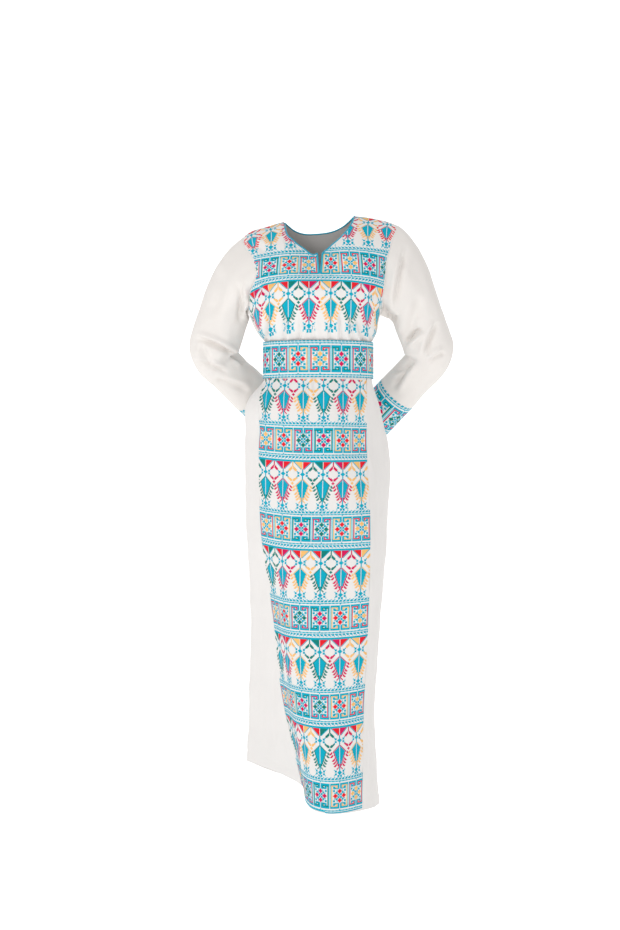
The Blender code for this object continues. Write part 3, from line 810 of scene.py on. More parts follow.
def sleeve_grid(side):
    """Rings from the armhole to the cuff's seam."""
    stations = arm_stations(side)
    down = arm_path(side)[3]
    leave = unit(np.array([side * CAP_OUT, 0.0, 0.0]) + down * CAP_DOWN)
    loop = armhole_loop(side, SLEEVE_AROUND) + leave * ARMHOLE_GAP
    first = arm_ring(*stations[0], side, SLEEVE_AROUND)
    reach = np.linalg.norm(first - loop, axis=1)[:, None]
    rings = []
    for t in np.linspace(0.0, 1.0, CAP_RINGS + 1)[:-1]:
        rings.append(
            (1 + 2 * t) * (1 - t) ** 2 * loop
            + t * (1 - t) ** 2 * reach * leave
            + t * t * (3 - 2 * t) * first
            + t * t * (t - 1) * reach * down
        )
    for centre, direction, half in stations:
        rings.append(arm_ring(centre, direction, half, side, SLEEVE_AROUND))
    return np.array(rings)


def cuff_grid(side, rows, around):
    """Rings of a cuff from its seam to its open end."""
    _, _, end, _, back = arm_path(side)
    rings = []
    for t in np.linspace(0.0, 1.0, rows + 1):
        centre = end - back * ((1 - t) * (CUFF_LENGTH - SEAM_GAP))
        rings.append(arm_ring(centre, back, ARM_ROUND["end"], side, around))
    return np.array(rings)


# ---------------------------------------------------------------- belt form


def belt_grid(rows, around, phase=0.0):
    """Rings of the belt from its lower edge up, starting at a distance from the middle of the skirt panel."""
    points = skirt_outline(round(BELT_BOTTOM, 4))[0][:-1, :2]
    ahead = np.roll(points, -1, axis=0) - np.roll(points, 1, axis=0)
    points = points + unit(np.column_stack([ahead[:, 1], -ahead[:, 0]])) * BELT_CLEAR
    points = np.vstack([points, points[:1]])
    along = run_along(points)
    where = np.mod(phase + np.linspace(0.0, along[-1], around + 1), along[-1])
    flat = sample(points, along, where)
    heights = np.linspace(BELT_BOTTOM, BELT_TOP, rows + 1)
    return np.array([np.column_stack([flat, np.full(len(flat), z)]) for z in heights])


# ---------------------------------------------------------------- creases


def pressed(points, normals, folds):
    """How far each point moves along its normal: troughs go in, and the ridges beside them come out."""
    strength = bpy.context.scene.thobe_sizes.folds
    x, z = points[..., 0], points[..., 2]
    total = np.zeros(x.shape)
    for x0, z0, x1, z1, bow, width, depth, lean, face in folds:
        length = math.hypot(x1 - x0, z1 - z0)
        ahead = ((x1 - x0) / length, (z1 - z0) / length)
        t = ((x - x0) * ahead[0] + (z - z0) * ahead[1]) / length
        inside = np.clip(t, 0.0, 1.0)
        aside = (z - z0) * ahead[0] - (x - x0) * ahead[1] - bow * 4 * inside * (1 - inside)
        taper = ease(t / FOLD_TAPER) * ease((1 - t) / FOLD_TAPER)
        facing = ease(0.15 + normals[..., 1] * face * 1.6)
        trough = np.exp(-((aside / width) ** 2))
        ridge = RIDGE_SHARE * np.exp(-(((aside - lean * RIDGE_AWAY * width) / (1.2 * width)) ** 2))
        total += depth * taper * facing * (ridge - trough)
    return total * strength


def rippled(points):
    """The slow unevenness of cloth that hangs."""
    x, y, z = points[..., 0], points[..., 1], points[..., 2]
    around = x + 0.6 * y
    total = np.zeros(x.shape)
    for k, (across, along, height) in enumerate(RIPPLES):
        sway = 1.3 * np.sin(2 * math.pi * z / along + 1.7 * k)
        total += height * np.sin(2 * math.pi * around / across + sway + 0.9 * k)
        total += 0.5 * height * np.sin(2 * math.pi * (z + 0.4 * around) / along + 2.1 * k)
    return total


def seamed(grid, normals, hem=0.0):
    """A skirt piece drawn in along its side seams, and along the stitched line of its hem if it has one."""
    along = np.concatenate(
        [np.zeros((len(grid), 1)), np.cumsum(np.linalg.norm(np.diff(grid, axis=1), axis=-1), axis=1)], axis=1
    )
    near = np.minimum(along, along[:, -1:] - along)
    move = -SEAM_DIP * np.exp(-((near / SEAM_REACH) ** 2))
    if hem:
        up = np.cumsum(np.linalg.norm(np.diff(grid, axis=0, prepend=grid[:1]), axis=-1), axis=0)
        move = move - HEM_DIP * np.exp(-(((up - hem) / HEM_REACH) ** 2))
    return grid + normals * move[..., None]


def folded(grid, folds, normals, ripple=0.0, deeper=1.0):
    """The grid with its creases pressed in along the given normals."""
    move = deeper * pressed(grid, normals, folds)
    if ripple:
        move = move + ripple * rippled(grid)
    return grid + normals * move[..., None]


# ---------------------------------------------------------------- sewing helpers


def choose(*objects):
    """Selects these objects alone. The last one is active."""
    bpy.ops.object.select_all(action="DESELECT")
    for item in objects:
        item.select_set(True)
        bpy.context.view_layer.objects.active = item


def flat_grid(name, points, closed, share):
    """A flat grid whose vertices are moved onto the points. share is its stretch of the shared UV square."""
    rows, columns = points.shape[:2]
    bpy.ops.object.select_all(action="DESELECT")
    bpy.ops.mesh.primitive_grid_add(x_subdivisions=columns - 1, y_subdivisions=rows - 1, size=1.0)
    made = bpy.context.active_object
    made.name = made.data.name = name
    mesh = made.data
    if len(mesh.vertices) != rows * columns:
        raise RuntimeError(f"{name}: the grid has {len(mesh.vertices)} vertices, not {rows * columns}")
    mesh.vertices.foreach_set("co", points.astype(np.float32).ravel())
    layer = mesh.uv_layers[0]
    layer.name = "OFBake"
    spots = np.empty(len(mesh.loops) * 2, np.float32)
    layer.uv.foreach_get("vector", spots)
    spots = spots.reshape(-1, 2)
    spots[:, 0] = share[0] + (share[1] - share[0]) * spots[:, 0]
    layer.uv.foreach_set("vector", spots.ravel())
    mesh.update()
    return made


def merge(made, distance):
    choose(made)
    bpy.ops.object.mode_set(mode="EDIT")
    bpy.ops.mesh.select_all(action="SELECT")
    bpy.ops.mesh.remove_doubles(threshold=distance)
    bpy.ops.object.mode_set(mode="OBJECT")


def cloth_piece(name, grids, replaces, closed=False):
    """A shell of cloth with its outer face on the grids, whose columns run anticlockwise seen from above."""
    sizes = bpy.context.scene.thobe_sizes
    parts = []
    for k, grid in enumerate(grids):
        parts.append(flat_grid(f"{name}_{k}" if k else name, grid, closed, (k / len(grids), (k + 1) / len(grids))))
    made = parts[0]
    if len(parts) > 1:
        choose(*parts[::-1])
        bpy.ops.object.join()
    if len(parts) > 1 or closed:
        merge(made, 0.00002)
    choose(made)
    wall = made.modifiers.new("Wall", "SOLIDIFY")
    wall.thickness = sizes.wall
    wall.offset = -1.0
    bpy.ops.object.modifier_apply(modifier=wall.name)
    bpy.ops.object.shade_smooth_by_angle(angle=math.radians(50))
    dress(made, replaces)
    return made


def dress(made, replaces):
    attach(made, BODY)
    if replaces:
        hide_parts(*replaces)


def sheet_area(grids):
    """Area of the outer face and the mean width and length of its cut."""
    area, width, length = 0.0, 0.0, 0.0
    for grid in grids:
        across = grid[:-1, 1:] - grid[:-1, :-1]
        up = grid[1:, :-1] - grid[:-1, :-1]
        area += float(np.linalg.norm(np.cross(across, up), axis=-1).sum())
        width += float(np.linalg.norm(np.diff(grid, axis=1), axis=-1).sum(axis=1).max())
        length = max(length, float(np.linalg.norm(np.diff(grid, axis=0), axis=-1).sum(axis=0).max()))
    return area, width, length


def declare(grids):
    """Works out the area of the outer face and the width and length of its cut, and keeps none of them."""
    area, width, length = sheet_area(grids)


# ---------------------------------------------------------------- stitches


def stitch_piece(name, patches):
    """Joined cross stitches. Each patch is a lattice of cell corners, rows from the top, and its chart."""
    height = bpy.context.scene.thobe_sizes.stitch
    corners, threads, places = [], [], []
    for lattice, chart in patches:
        rows, columns = np.nonzero(chart != BARE)
        cells = [lattice[rows + r, columns + c] for r, c in ((1, 0), (1, 1), (0, 1), (0, 0))]
        corners.append(np.stack(cells, axis=1))
        threads.append(chart[rows, columns])
        u = (columns + len(places)) / (chart.shape[1] + len(patches))
        places.append(np.column_stack([u / len(patches) + len(places) / len(patches), 1 - rows / chart.shape[0]]))
    corners, threads, places = np.concatenate(corners), np.concatenate(threads), np.concatenate(places)
    middle = corners.mean(axis=1, keepdims=True)
    normal = unit(np.cross(corners[:, 2] - corners[:, 0], corners[:, 3] - corners[:, 1]))
    foot = corners + (middle - corners) * STITCH_INSET + normal[:, None] * STITCH_FOOT
    peak = middle + normal[:, None] * height
    vertices = np.concatenate([foot, peak], axis=1).reshape(-1, 3)
    count = len(corners)
    first = np.arange(count)[:, None] * 5
    sides = np.concatenate([first + (k, (k + 1) % 4, 4) for k in range(4)], axis=1).reshape(-1, 3)
    bases = (first + (3, 2, 1, 0)).reshape(-1, 4)
    mesh = bpy.data.meshes.new(name)
    mesh.from_pydata(vertices.tolist(), [], sides.tolist() + bases.tolist())
    made = bpy.data.objects.new(name, mesh)
    bpy.context.scene.collection.objects.link(made)
    for thread in THREADS:
        mesh.materials.append(thread_material(thread))
    mesh.polygons.foreach_set("material_index", np.concatenate([np.repeat(threads, 4), threads]).astype(np.int32))
    stitch_maps(mesh, places, count, max(chart.shape[0] for _, chart in patches), patches[0][1].shape[1])
    mesh.update()
    choose(made)
    bpy.ops.object.shade_smooth_by_angle(angle=math.radians(70))
    dress(made, ())
    return made


def stitch_maps(mesh, places, count, rows, columns):
    """A map that fills the piece's own square cell by cell, one that fills each stitch, and a tone for each."""
    spots = np.array([(0, 0), (1, 0), (1, 1), (0, 1), (0.5, 0.5)])
    side = np.array([[k, (k + 1) % 4, 4] for k in range(4)]).ravel()
    own = np.concatenate([np.tile(spots[side], (count, 1)), np.tile(spots[[4, 4, 4, 4]], (count, 1))])
    cell = np.concatenate([np.repeat(places, 12, axis=0), np.repeat(places, 4, axis=0)])
    whole = cell + (own - (0, 1)) / (columns + 2, rows)
    for name, values in (("OFBake", whole), ("Stitch", own)):
        layer = mesh.uv_layers.new(name=name)
        layer.uv.foreach_set("vector", np.clip(values, 0.0, 1.0).astype(np.float32).ravel())
    tone = np.random.default_rng(7).normal(0.0, 1.0, count)
    spread = mesh.attributes.new("tone", "FLOAT", "FACE")
    spread.data.foreach_set("value", np.concatenate([np.repeat(tone, 4), tone]).astype(np.float32))


def box_cell(x, y, bracket, star):
    """Thread of the box motif at x from its axis and y above its middle."""
    code = BOX_CHART[len(BOX_CHART) - 1 - abs(y)][abs(x)]
    return {".": BARE, "T": TURQUOISE, "L": PALE, "B": bracket, "S": star}[code]


def border_cell(column, x, away, lean):
    """Thread of the border at this many rows from the box's middle. lean turns its slanted leaves."""
    leaf = (column * lean) % 4
    if away == 15:
        return TURQUOISE if x == 0 else BARE
    if away == 16:
        return TURQUOISE if column % 4 in (1, 2) else PALE
    if away in (18, 19):
        return TURQUOISE if leaf in ((0, 1, 2), (1, 2))[away - 18] else BARE
    if away == 20:
        return PALE if leaf == 3 else BARE
    return TURQUOISE if away == 22 else BARE


def tree_cell(row, x, own, triangles, leaves):
    """Thread of the tree motif. triangles and leaves give the colours on its two sides."""
    code = TREE_CHART[row][abs(x)]
    side = 0 if x < 0 else 1
    known = {".": BARE, "T": TURQUOISE, "L": PALE, "C": own, "P": triangles[side], "V": leaves[side]}
    return known[code]


def box_band(y, column, x, box, lean):
    """One cell of a whole box band, borders and all. y counts up from the middle of the boxes."""
    if abs(y) < len(BOX_CHART):
        return box_cell(x, y, *box)
    return border_cell(column, x, abs(y), lean)


def panel_thread(row, column):
    """The skirt panel's cell, in rows down from the first box band and columns from the panel's middle."""
    band, within = divmod(row, REPEAT_ROWS)
    motif = (column + HALF_MOTIF * PANEL_MOTIFS) // MOTIF
    x = column - (2 * motif + 1 - PANEL_MOTIFS) * HALF_MOTIF
    if within < BAND_ROWS:
        box = PANEL_BOXES[band % 2][motif]
        return box_band(BORDER_ABOVE + len(BOX_CHART) - 1 - within, column, x, box, -1 if column < 0 else 1)
    trees = PANEL_TREES
    own = trees[motif]
    if band % 2 == 0:
        triangles = (own, RED)
        leaves = (own, trees[min(motif + 1, PANEL_MOTIFS - 1)])
    else:
        triangles = (RED, own)
        leaves = (trees[max(motif - 1, 0)], own)
    return tree_cell(within - BAND_ROWS, x, own, triangles, leaves)


def bodice_thread(row, column, side):
    """The bodice's cell, in rows down from the box band's upper border and columns out from the middle."""
    motif, within = divmod(column, MOTIF)
    x = within - HALF_MOTIF
    if 0 <= row < BAND_ROWS:
        box = BODICE_BOXES[side][motif % 4]
        return box_band(BORDER_ABOVE + len(BOX_CHART) - 1 - row, column, x, box, -side)
    if row >= BAND_ROWS:
        trees = BODICE_TREES[side]
        own = trees[motif % 3]
        return tree_cell(row - BAND_ROWS, x, own, (own, RED), (own, trees[(motif + 1) % 3]))
    if row == -1:
        return BARE
    own = SHOULDER_TREES[min(motif, 3)]
    return tree_cell(row + len(TREE_CHART), x, own, (own, RED), (own, own))


def panel_stitches():
    """The skirt panel's stitches, from under the belt down to the hem."""
    columns = np.arange(-HALF_MOTIF * PANEL_MOTIFS + 1, HALF_MOTIF * PANEL_MOTIFS)
    edges = np.arange(columns[0], columns[-1] + 2) - 0.5
    surface = skirt_grid("panel", edges * PANEL_CELL / PANEL_WIDTH + 0.5, 420)
    surface = folded(surface, SKIRT_FOLDS, grid_normals(surface), deeper=SKIRT_DEPTH)
    first = int((FIRST_BOX_BAND - BELT_BOTTOM) / PANEL_ROW) + 1
    last = int((FIRST_BOX_BAND - HEM) / PANEL_ROW)
    heights = FIRST_BOX_BAND - np.arange(first, last + 1) * PANEL_ROW
    zs, shapes = table(PANEL_ROW_SHAPE)
    middle, right, left = smooth(zs, shapes, heights).T
    fall = np.clip((WAIST - heights) / (WAIST - HEM), 0.0, 1.0)
    across = edges * PANEL_CELL / (PANEL_WIDTH / 2)
    rise = surface[0, :, 2] - HEM
    lattice = np.empty((len(heights), len(edges), 3))
    for k, t in enumerate(across):
        end = left if t > 0 else right
        wanted = heights + middle + (end - middle) * t * t + rise[k] * fall**ROW_RISE_POWER
        for axis in range(3):
            lattice[:, k, axis] = np.interp(wanted, surface[:, k, 2], surface[:, k, axis])
    chart = np.full((len(heights) - 1, len(columns)), BARE)
    for i in range(len(chart)):
        for j, column in enumerate(columns):
            chart[i, j] = panel_thread(first + i, int(column))
    lowest = lattice[1:, 1:, 2]
    hem = (surface[0, 1:, 2] + HEM_MARGIN)[None, :]
    chart[lowest < hem] = BARE
    edge = (lowest >= hem) & (np.vstack([lowest[1:], lowest[-1:] - 1]) < hem)
    chart[edge] = TURQUOISE
    chart[lattice[:-1, 1:, 2] > BELT_BOTTOM + 2 * PANEL_ROW] = BARE
    return stitch_piece("panel_stitches", [(lattice, chart)])


def bodice_patch(side):
    """Lattice and chart of one half of the bodice's stitches."""
    marks, shapes = table(BODICE_ROWS[side])
    rows = np.arange(marks[0], marks[-1] + 1)
    heights, droops, curls = (np.interp(rows, marks, column) for column in shapes.T)
    places = np.arange(BODICE_CELLS + 1) * BODICE_CELL
    far = np.linspace(0.0, 0.19, 240)
    lattice = np.empty((len(rows), len(places), 3))
    for i, (height, droop, curl) in enumerate(zip(heights, droops, curls)):
        x = SLIT_X + side * far
        z = height - droop * far**2 - curl * far**4
        z = np.minimum(z, shoulder_height(x) - 0.0005)
        along = run_along(torso_points(x, z, True))
        x = np.interp(places, along, x) if side > 0 else -np.interp(places, along, -x)
        z = np.interp(places, along, z)
        lattice[i] = bodice_surface(x, z, side, True)
    lattice = lattice if side > 0 else lattice[:, ::-1]
    chart = np.full((len(rows) - 1, BODICE_CELLS), BARE)
    for i, row in enumerate(rows[:-1]):
        for j in range(BODICE_CELLS):
            thread = bodice_thread(int(row), j, side)
            chart[i, j if side > 0 else -1 - j] = thread
    middle = (lattice[:-1, :-1] + lattice[1:, 1:]) / 2
    x, z = middle[..., 0], middle[..., 2]
    outside = z > top_height(x, True) - NECK_MARGIN
    outside |= np.abs(x) > armhole_x(z, side, True) - EDGE_MARGIN
    outside |= z < BELT_TOP
    outside |= np.abs(lattice[:-1, 1:, 0] - lattice[:-1, :-1, 0]) < 0.2 * BODICE_CELL
    chart[outside] = BARE
    return lattice, chart


def band_patch(grid, motifs, border, first=0):
    """Lattice and chart of a box band that closes on itself, from its top down. first numbers its first motif."""
    rows, columns = grid.shape[0] - 1, grid.shape[1] - 1
    chart = np.full((rows, columns), BARE)
    for i in range(rows):
        for j in range(columns):
            motif, within = divmod(j, MOTIF)
            x = within - HALF_MOTIF
            y = border + len(BOX_CHART) - 1 - i
            chart[i, j] = box_band(y, j, x, motifs[(first + motif) % len(motifs)], 1)
    return grid, chart


# ---------------------------------------------------------------- materials


class Graph:
    """Short ways to add nodes to a tree."""

    def __init__(self, tree):
        self.tree = tree

    def add(self, kind, **settings):
        made = self.tree.nodes.new(kind)
        for name, value in settings.items():
            setattr(made, name, value)
        return made

    def put(self, source, target):
        """Links a socket, or sets a constant."""
        if isinstance(source, bpy.types.NodeSocket):
            self.tree.links.new(source, target)
        else:
            target.default_value = source

    def math(self, operation, *values):
        made = self.add("ShaderNodeMath", operation=operation)
        for value, target in zip(values, made.inputs):
            self.put(value, target)
        return made.outputs[0]

    def mix(self, factor, first, second, blend="MIX"):
        made = self.add("ShaderNodeMix", data_type="RGBA", blend_type=blend)
        self.put(factor, made.inputs["Factor"])
        self.put(first, made.inputs["A"])
        self.put(second, made.inputs["B"])
        return made.outputs["Result"]

    def noise(self, vector, scale, detail=2.0):
        made = self.add("ShaderNodeTexNoise")
        self.put(vector, made.inputs["Vector"])
        made.inputs["Scale"].default_value = scale
        made.inputs["Detail"].default_value = detail
        return made.outputs["Fac"]


def new_group(name, inputs, outputs):
    """A shader node group with named sockets, and whether it still has to be filled."""
    if name in bpy.data.node_groups:
        return bpy.data.node_groups[name], None
    group = bpy.data.node_groups.new(name, "ShaderNodeTree")
    for label, kind, value in inputs:
        socket = group.interface.new_socket(label, in_out="INPUT", socket_type=kind)
        if value is not None:
            socket.default_value = value
    for label, kind in outputs:
        group.interface.new_socket(label, in_out="OUTPUT", socket_type=kind)
    return group, Graph(group)


def weave_group():
    """Plain weave: over and under threads as a height, and soft slubs as a tone."""
    group, graph = new_group(
        "Plain weave",
        (("Cloth", "NodeSocketVector", None), ("Pitch", "NodeSocketFloat", 0.0005)),
        (("Height", "NodeSocketFloat"), ("Tone", "NodeSocketFloat")),
    )
    if graph is None:
        return group
    given = graph.add("NodeGroupInput").outputs
    result = graph.add("NodeGroupOutput").inputs
    split = graph.add("ShaderNodeSeparateXYZ")
    graph.put(given["Cloth"], split.inputs[0])
    waves = []
    for axis in range(2):
        turns = graph.math("DIVIDE", split.outputs[axis], given["Pitch"])
        waves.append(graph.math("SINE", graph.math("MULTIPLY", turns, math.pi)))
    crossing = graph.math("MULTIPLY", waves[0], waves[1])
    graph.put(graph.math("MULTIPLY_ADD", crossing, 0.5, 0.5), result["Height"])
    stretched = graph.add("ShaderNodeMapping")
    graph.put(given["Cloth"], stretched.inputs["Vector"])
    stretched.inputs["Scale"].default_value = (60.0, 900.0, 1.0)
    weft = graph.noise(stretched.outputs[0], 1.0, 1.0)
    turned = graph.add("ShaderNodeMapping")
    graph.put(given["Cloth"], turned.inputs["Vector"])
    turned.inputs["Scale"].default_value = (900.0, 60.0, 1.0)
    warp = graph.noise(turned.outputs[0], 1.0, 1.0)
    graph.put(graph.math("MULTIPLY", graph.math("ADD", weft, warp), 0.5), result["Tone"])
    return group


def cross_group():
    """One cross stitch: two twisted threads, the upper one over the lower, as a height."""
    group, graph = new_group(
        "Cross stitch",
        (("Stitch", "NodeSocketVector", None), ("Width", "NodeSocketFloat", 0.34)),
        (("Height", "NodeSocketFloat"), ("Groove", "NodeSocketFloat")),
    )
    if graph is None:
        return group
    given = graph.add("NodeGroupInput").outputs
    result = graph.add("NodeGroupOutput").inputs
    split = graph.add("ShaderNodeSeparateXYZ")
    graph.put(given["Stitch"], split.inputs[0])
    u, v = split.outputs[0], split.outputs[1]
    total = graph.math("ADD", u, v)
    across = (graph.math("SUBTRACT", u, v), graph.math("SUBTRACT", total, 1.0))
    along = (total, graph.math("ADD", graph.math("SUBTRACT", u, v), 1.0))
    threads = []
    for k in range(2):
        away = graph.math("DIVIDE", graph.math("ABSOLUTE", across[k]), given["Width"])
        round_top = graph.math("SQRT", graph.math("MAXIMUM", graph.math("SUBTRACT", 1.0, away), 0.0))
        twist = graph.math("MULTIPLY", graph.math("ADD", along[k], graph.math("MULTIPLY", across[k], 1.6)), 26.0)
        ply = graph.math("MULTIPLY", graph.math("SINE", twist), 0.10)
        body = graph.math("MULTIPLY", round_top, graph.math("ADD", ply, 1.0))
        threads.append(graph.math("MULTIPLY", body, (0.8, 1.0)[k]))
    height = graph.math("MAXIMUM", threads[0], threads[1])
    graph.put(height, result["Height"])
    # Groove is one less the height: the thread's material paints shade into its colour with it, and makes it
    # rougher there
    graph.put(graph.math("SUBTRACT", 1.0, height), result["Groove"])
    return group


def variation_group():
    """Uneven dye and handling: a colour made a little lighter and darker over the surface."""
    group, graph = new_group(
        "Uneven colour",
        (
            ("Colour", "NodeSocketColor", (1, 1, 1, 1)),
            ("Place", "NodeSocketVector", None),
            ("Scale", "NodeSocketFloat", 20.0),
            ("Amount", "NodeSocketFloat", 0.05),
        ),
        (("Colour", "NodeSocketColor"),),
    )
    if graph is None:
        return group
    given = graph.add("NodeGroupInput").outputs
    result = graph.add("NodeGroupOutput").inputs
    noise = graph.add("ShaderNodeTexNoise")
    graph.put(given["Place"], noise.inputs["Vector"])
    graph.put(given["Scale"], noise.inputs["Scale"])
    noise.inputs["Detail"].default_value = 3.0
    swing = graph.math("SUBTRACT", noise.outputs["Fac"], 0.5)
    value = graph.math("MULTIPLY_ADD", graph.math("MULTIPLY", swing, given["Amount"]), 2.0, 1.0)
    tone = graph.add("ShaderNodeHueSaturation")
    graph.put(value, tone.inputs["Value"])
    graph.put(given["Colour"], tone.inputs["Color"])
    graph.put(tone.outputs[0], result["Colour"])
    return group


def new_material(name):
    """A material with an empty Principled shader, and whether it was there already."""
    if name in bpy.data.materials:
        return bpy.data.materials[name], None, None
    made = bpy.data.materials.new(name)
    made.use_nodes = True
    return made, Graph(made.node_tree), made.node_tree.nodes["Principled BSDF"]


def bump(graph, height, strength, distance, target, under=None):
    node = graph.add("ShaderNodeBump")
    node.inputs["Strength"].default_value = strength
    node.inputs["Distance"].default_value = distance
    graph.put(height, node.inputs["Height"])
    if under is not None:
        graph.put(under, node.inputs["Normal"])
    graph.put(node.outputs[0], target)
    return node.outputs[0]


def cloth_material(name, width, length, tint=(1.0, 1.0, 1.0)):
    """White plain-weave cloth. width and length scale its map to metres."""
    made, graph, shader = new_material(name)
    if graph is None:
        return made
    settings = bpy.context.scene
    white = tuple(a * b for a, b in zip(settings.thobe_colours.cloth, tint))
    place = graph.add("ShaderNodeTexCoord").outputs["Object"]
    chart = graph.add("ShaderNodeUVMap", uv_map="OFBake")
    scaled = graph.add("ShaderNodeMapping")
    graph.put(chart.outputs[0], scaled.inputs["Vector"])
    scaled.inputs["Scale"].default_value = (width, length, 1.0)
    weave = graph.add("ShaderNodeGroup")
    weave.node_tree = weave_group()
    graph.put(scaled.outputs[0], weave.inputs["Cloth"])
    weave.inputs["Pitch"].default_value = settings.thobe_sizes.weave
    vary = graph.add("ShaderNodeGroup")
    vary.node_tree = variation_group()
    vary.inputs["Colour"].default_value = (*white, 1.0)
    vary.inputs["Scale"].default_value = 9.0
    vary.inputs["Amount"].default_value = 0.016
    graph.put(place, vary.inputs["Place"])
    slub = graph.math("MULTIPLY_ADD", weave.outputs["Tone"], 0.05, 0.975)
    tone = graph.add("ShaderNodeHueSaturation")
    graph.put(slub, tone.inputs["Value"])
    graph.put(vary.outputs["Colour"], tone.inputs["Color"])
    graph.put(tone.outputs[0], shader.inputs["Base Color"])
    shader.inputs["Roughness"].default_value = 0.82
    shader.inputs["Sheen Weight"].default_value = 0.12
    shader.inputs["Sheen Roughness"].default_value = 0.5
    shader.inputs["Specular IOR Level"].default_value = 0.25
    soft = graph.noise(place, 38.0, 3.0)
    crumple = graph.add("ShaderNodeBump")
    crumple.inputs["Strength"].default_value = 0.22
    crumple.inputs["Distance"].default_value = 0.0025
    graph.put(soft, crumple.inputs["Height"])
    bump(graph, weave.outputs["Height"], 0.25, 0.00012, shader.inputs["Normal"], crumple.outputs[0])
    return made


def thread_material(name):
    """Glossy embroidery thread of one colour, worked as cross stitches, with shade painted into the grooves between
    its threads.
    """
    made, graph, shader = new_material(f"{name}_thread")
    if graph is None:
        return made
    base = getattr(bpy.context.scene.thobe_colours, name)
    place = graph.add("ShaderNodeTexCoord").outputs["Object"]
    own = graph.add("ShaderNodeUVMap", uv_map="Stitch")
    cross = graph.add("ShaderNodeGroup")
    cross.node_tree = cross_group()
    graph.put(own.outputs[0], cross.inputs["Stitch"])
    vary = graph.add("ShaderNodeGroup")
    vary.node_tree = variation_group()
    vary.inputs["Colour"].default_value = (*base, 1.0)
    vary.inputs["Scale"].default_value = 60.0
    vary.inputs["Amount"].default_value = 0.10
    graph.put(place, vary.inputs["Place"])
    tone = graph.add("ShaderNodeAttribute", attribute_name="tone")
    value = graph.math("MULTIPLY_ADD", tone.outputs["Fac"], 0.025, 1.0)
    # Painted shade: the colour is made up to a tenth darker in the grooves between the crossing threads, where the
    # stitch is low
    value = graph.math("SUBTRACT", value, graph.math("MULTIPLY", cross.outputs["Groove"], 0.10))
    shade = graph.add("ShaderNodeHueSaturation")
    graph.put(value, shade.inputs["Value"])
    graph.put(vary.outputs["Colour"], shade.inputs["Color"])
    graph.put(shade.outputs[0], shader.inputs["Base Color"])
    rough = graph.math("MULTIPLY_ADD", cross.outputs["Groove"], 0.2, 0.6)
    graph.put(rough, shader.inputs["Roughness"])
    shader.inputs["Specular IOR Level"].default_value = 0.12
    bump(graph, cross.outputs["Height"], 0.45, 0.0002, shader.inputs["Normal"])
    return made


def binding_material():
    """A corded edge of turquoise thread, its plies slanting round it, with shade painted between the plies."""
    made, graph, shader = new_material("binding_cord")
    if graph is None:
        return made
    chart = graph.add("ShaderNodeUVMap", uv_map="OFBake")
    split = graph.add("ShaderNodeSeparateXYZ")
    graph.put(chart.outputs[0], split.inputs[0])
    turns = graph.math("MULTIPLY_ADD", split.outputs[1], 420.0, graph.math("MULTIPLY", split.outputs[0], 2.0))
    ply = graph.math("MULTIPLY_ADD", graph.math("SINE", graph.math("MULTIPLY", turns, math.tau)), 0.5, 0.5)
    vary = graph.add("ShaderNodeGroup")
    vary.node_tree = variation_group()
    vary.inputs["Colour"].default_value = (*bpy.context.scene.thobe_colours.binding, 1.0)
    vary.inputs["Scale"].default_value = 80.0
    vary.inputs["Amount"].default_value = 0.12
    graph.put(graph.add("ShaderNodeTexCoord").outputs["Object"], vary.inputs["Place"])
    shade = graph.add("ShaderNodeHueSaturation")
    # Painted light and shade: the colour runs from 0.8 of itself in the troughs between the plies to 1.05 on their
    # crests
    graph.put(graph.math("MULTIPLY_ADD", ply, 0.25, 0.8), shade.inputs["Value"])
    graph.put(vary.outputs["Colour"], shade.inputs["Color"])
    graph.put(shade.outputs[0], shader.inputs["Base Color"])
    shader.inputs["Roughness"].default_value = 0.5
    bump(graph, ply, 0.6, 0.0003, shader.inputs["Normal"])
    return made


def stage_material():
    made, graph, shader = new_material("stage_paper")
    if graph is None:
        return made
    vary = graph.add("ShaderNodeGroup")
    vary.node_tree = variation_group()
    vary.inputs["Colour"].default_value = (*bpy.context.scene.thobe_colours.stage, 1.0)
    vary.inputs["Scale"].default_value = 1.5
    vary.inputs["Amount"].default_value = 0.004
    graph.put(graph.add("ShaderNodeTexCoord").outputs["Object"], vary.inputs["Place"])
    graph.put(vary.outputs["Colour"], shader.inputs["Base Color"])
    shader.inputs["Roughness"].default_value = 0.9
    shader.inputs["Specular IOR Level"].default_value = 0.1
    shader.inputs["Emission Color"].default_value = (1.0, 1.0, 1.0, 1.0)
    shader.inputs["Emission Strength"].default_value = 0.42
    return made


def cover(made, grids, tint=(1.0, 1.0, 1.0)):
    """Gives a cloth piece its own white cloth, woven to its size."""
    _, width, length = sheet_area(grids)
    made.data.materials.clear()
    made.data.materials.append(cloth_material(f"{made.name}_white", width, length, tint))


# ---------------------------------------------------------------- operators


class THOBE_OT_skirt(bpy.types.Operator):
    """Sews the skirt's panel, sides and back, and works the panel's stitches"""

    bl_idname = "thobe.skirt"
    bl_label = "Skirt"

    def execute(self, context):
        pieces = (
            ("panel", "skirt_front_panel", PANEL_GRID, "embroidered_cloth", 0.0),
            ("side_left", "skirt_side_left", SIDE_GRID, "white_cloth", 1.0),
            ("back", "skirt_back", BACK_GRID, "white_cloth", 1.2),
            ("side_right", "skirt_side_right", SIDE_GRID, "white_cloth", 1.0),
        )
        stitches = panel_stitches()
        for piece, node, (rows, columns), slot, ripple in pieces:
            grid = skirt_grid(piece, np.linspace(0.0, 1.0, columns + 1), rows + 1)
            normals = grid_normals(grid)
            grid = folded(grid, SKIRT_FOLDS, normals, ripple, SKIRT_DEPTH)
            grid = seamed(grid, normals, HEM_FOLD if ripple else 0.0)
            made = cloth_piece(f"{piece}_cloth", [grid], (node,))
            cover(made, [grid])
            declare([grid])
        return {"FINISHED"}


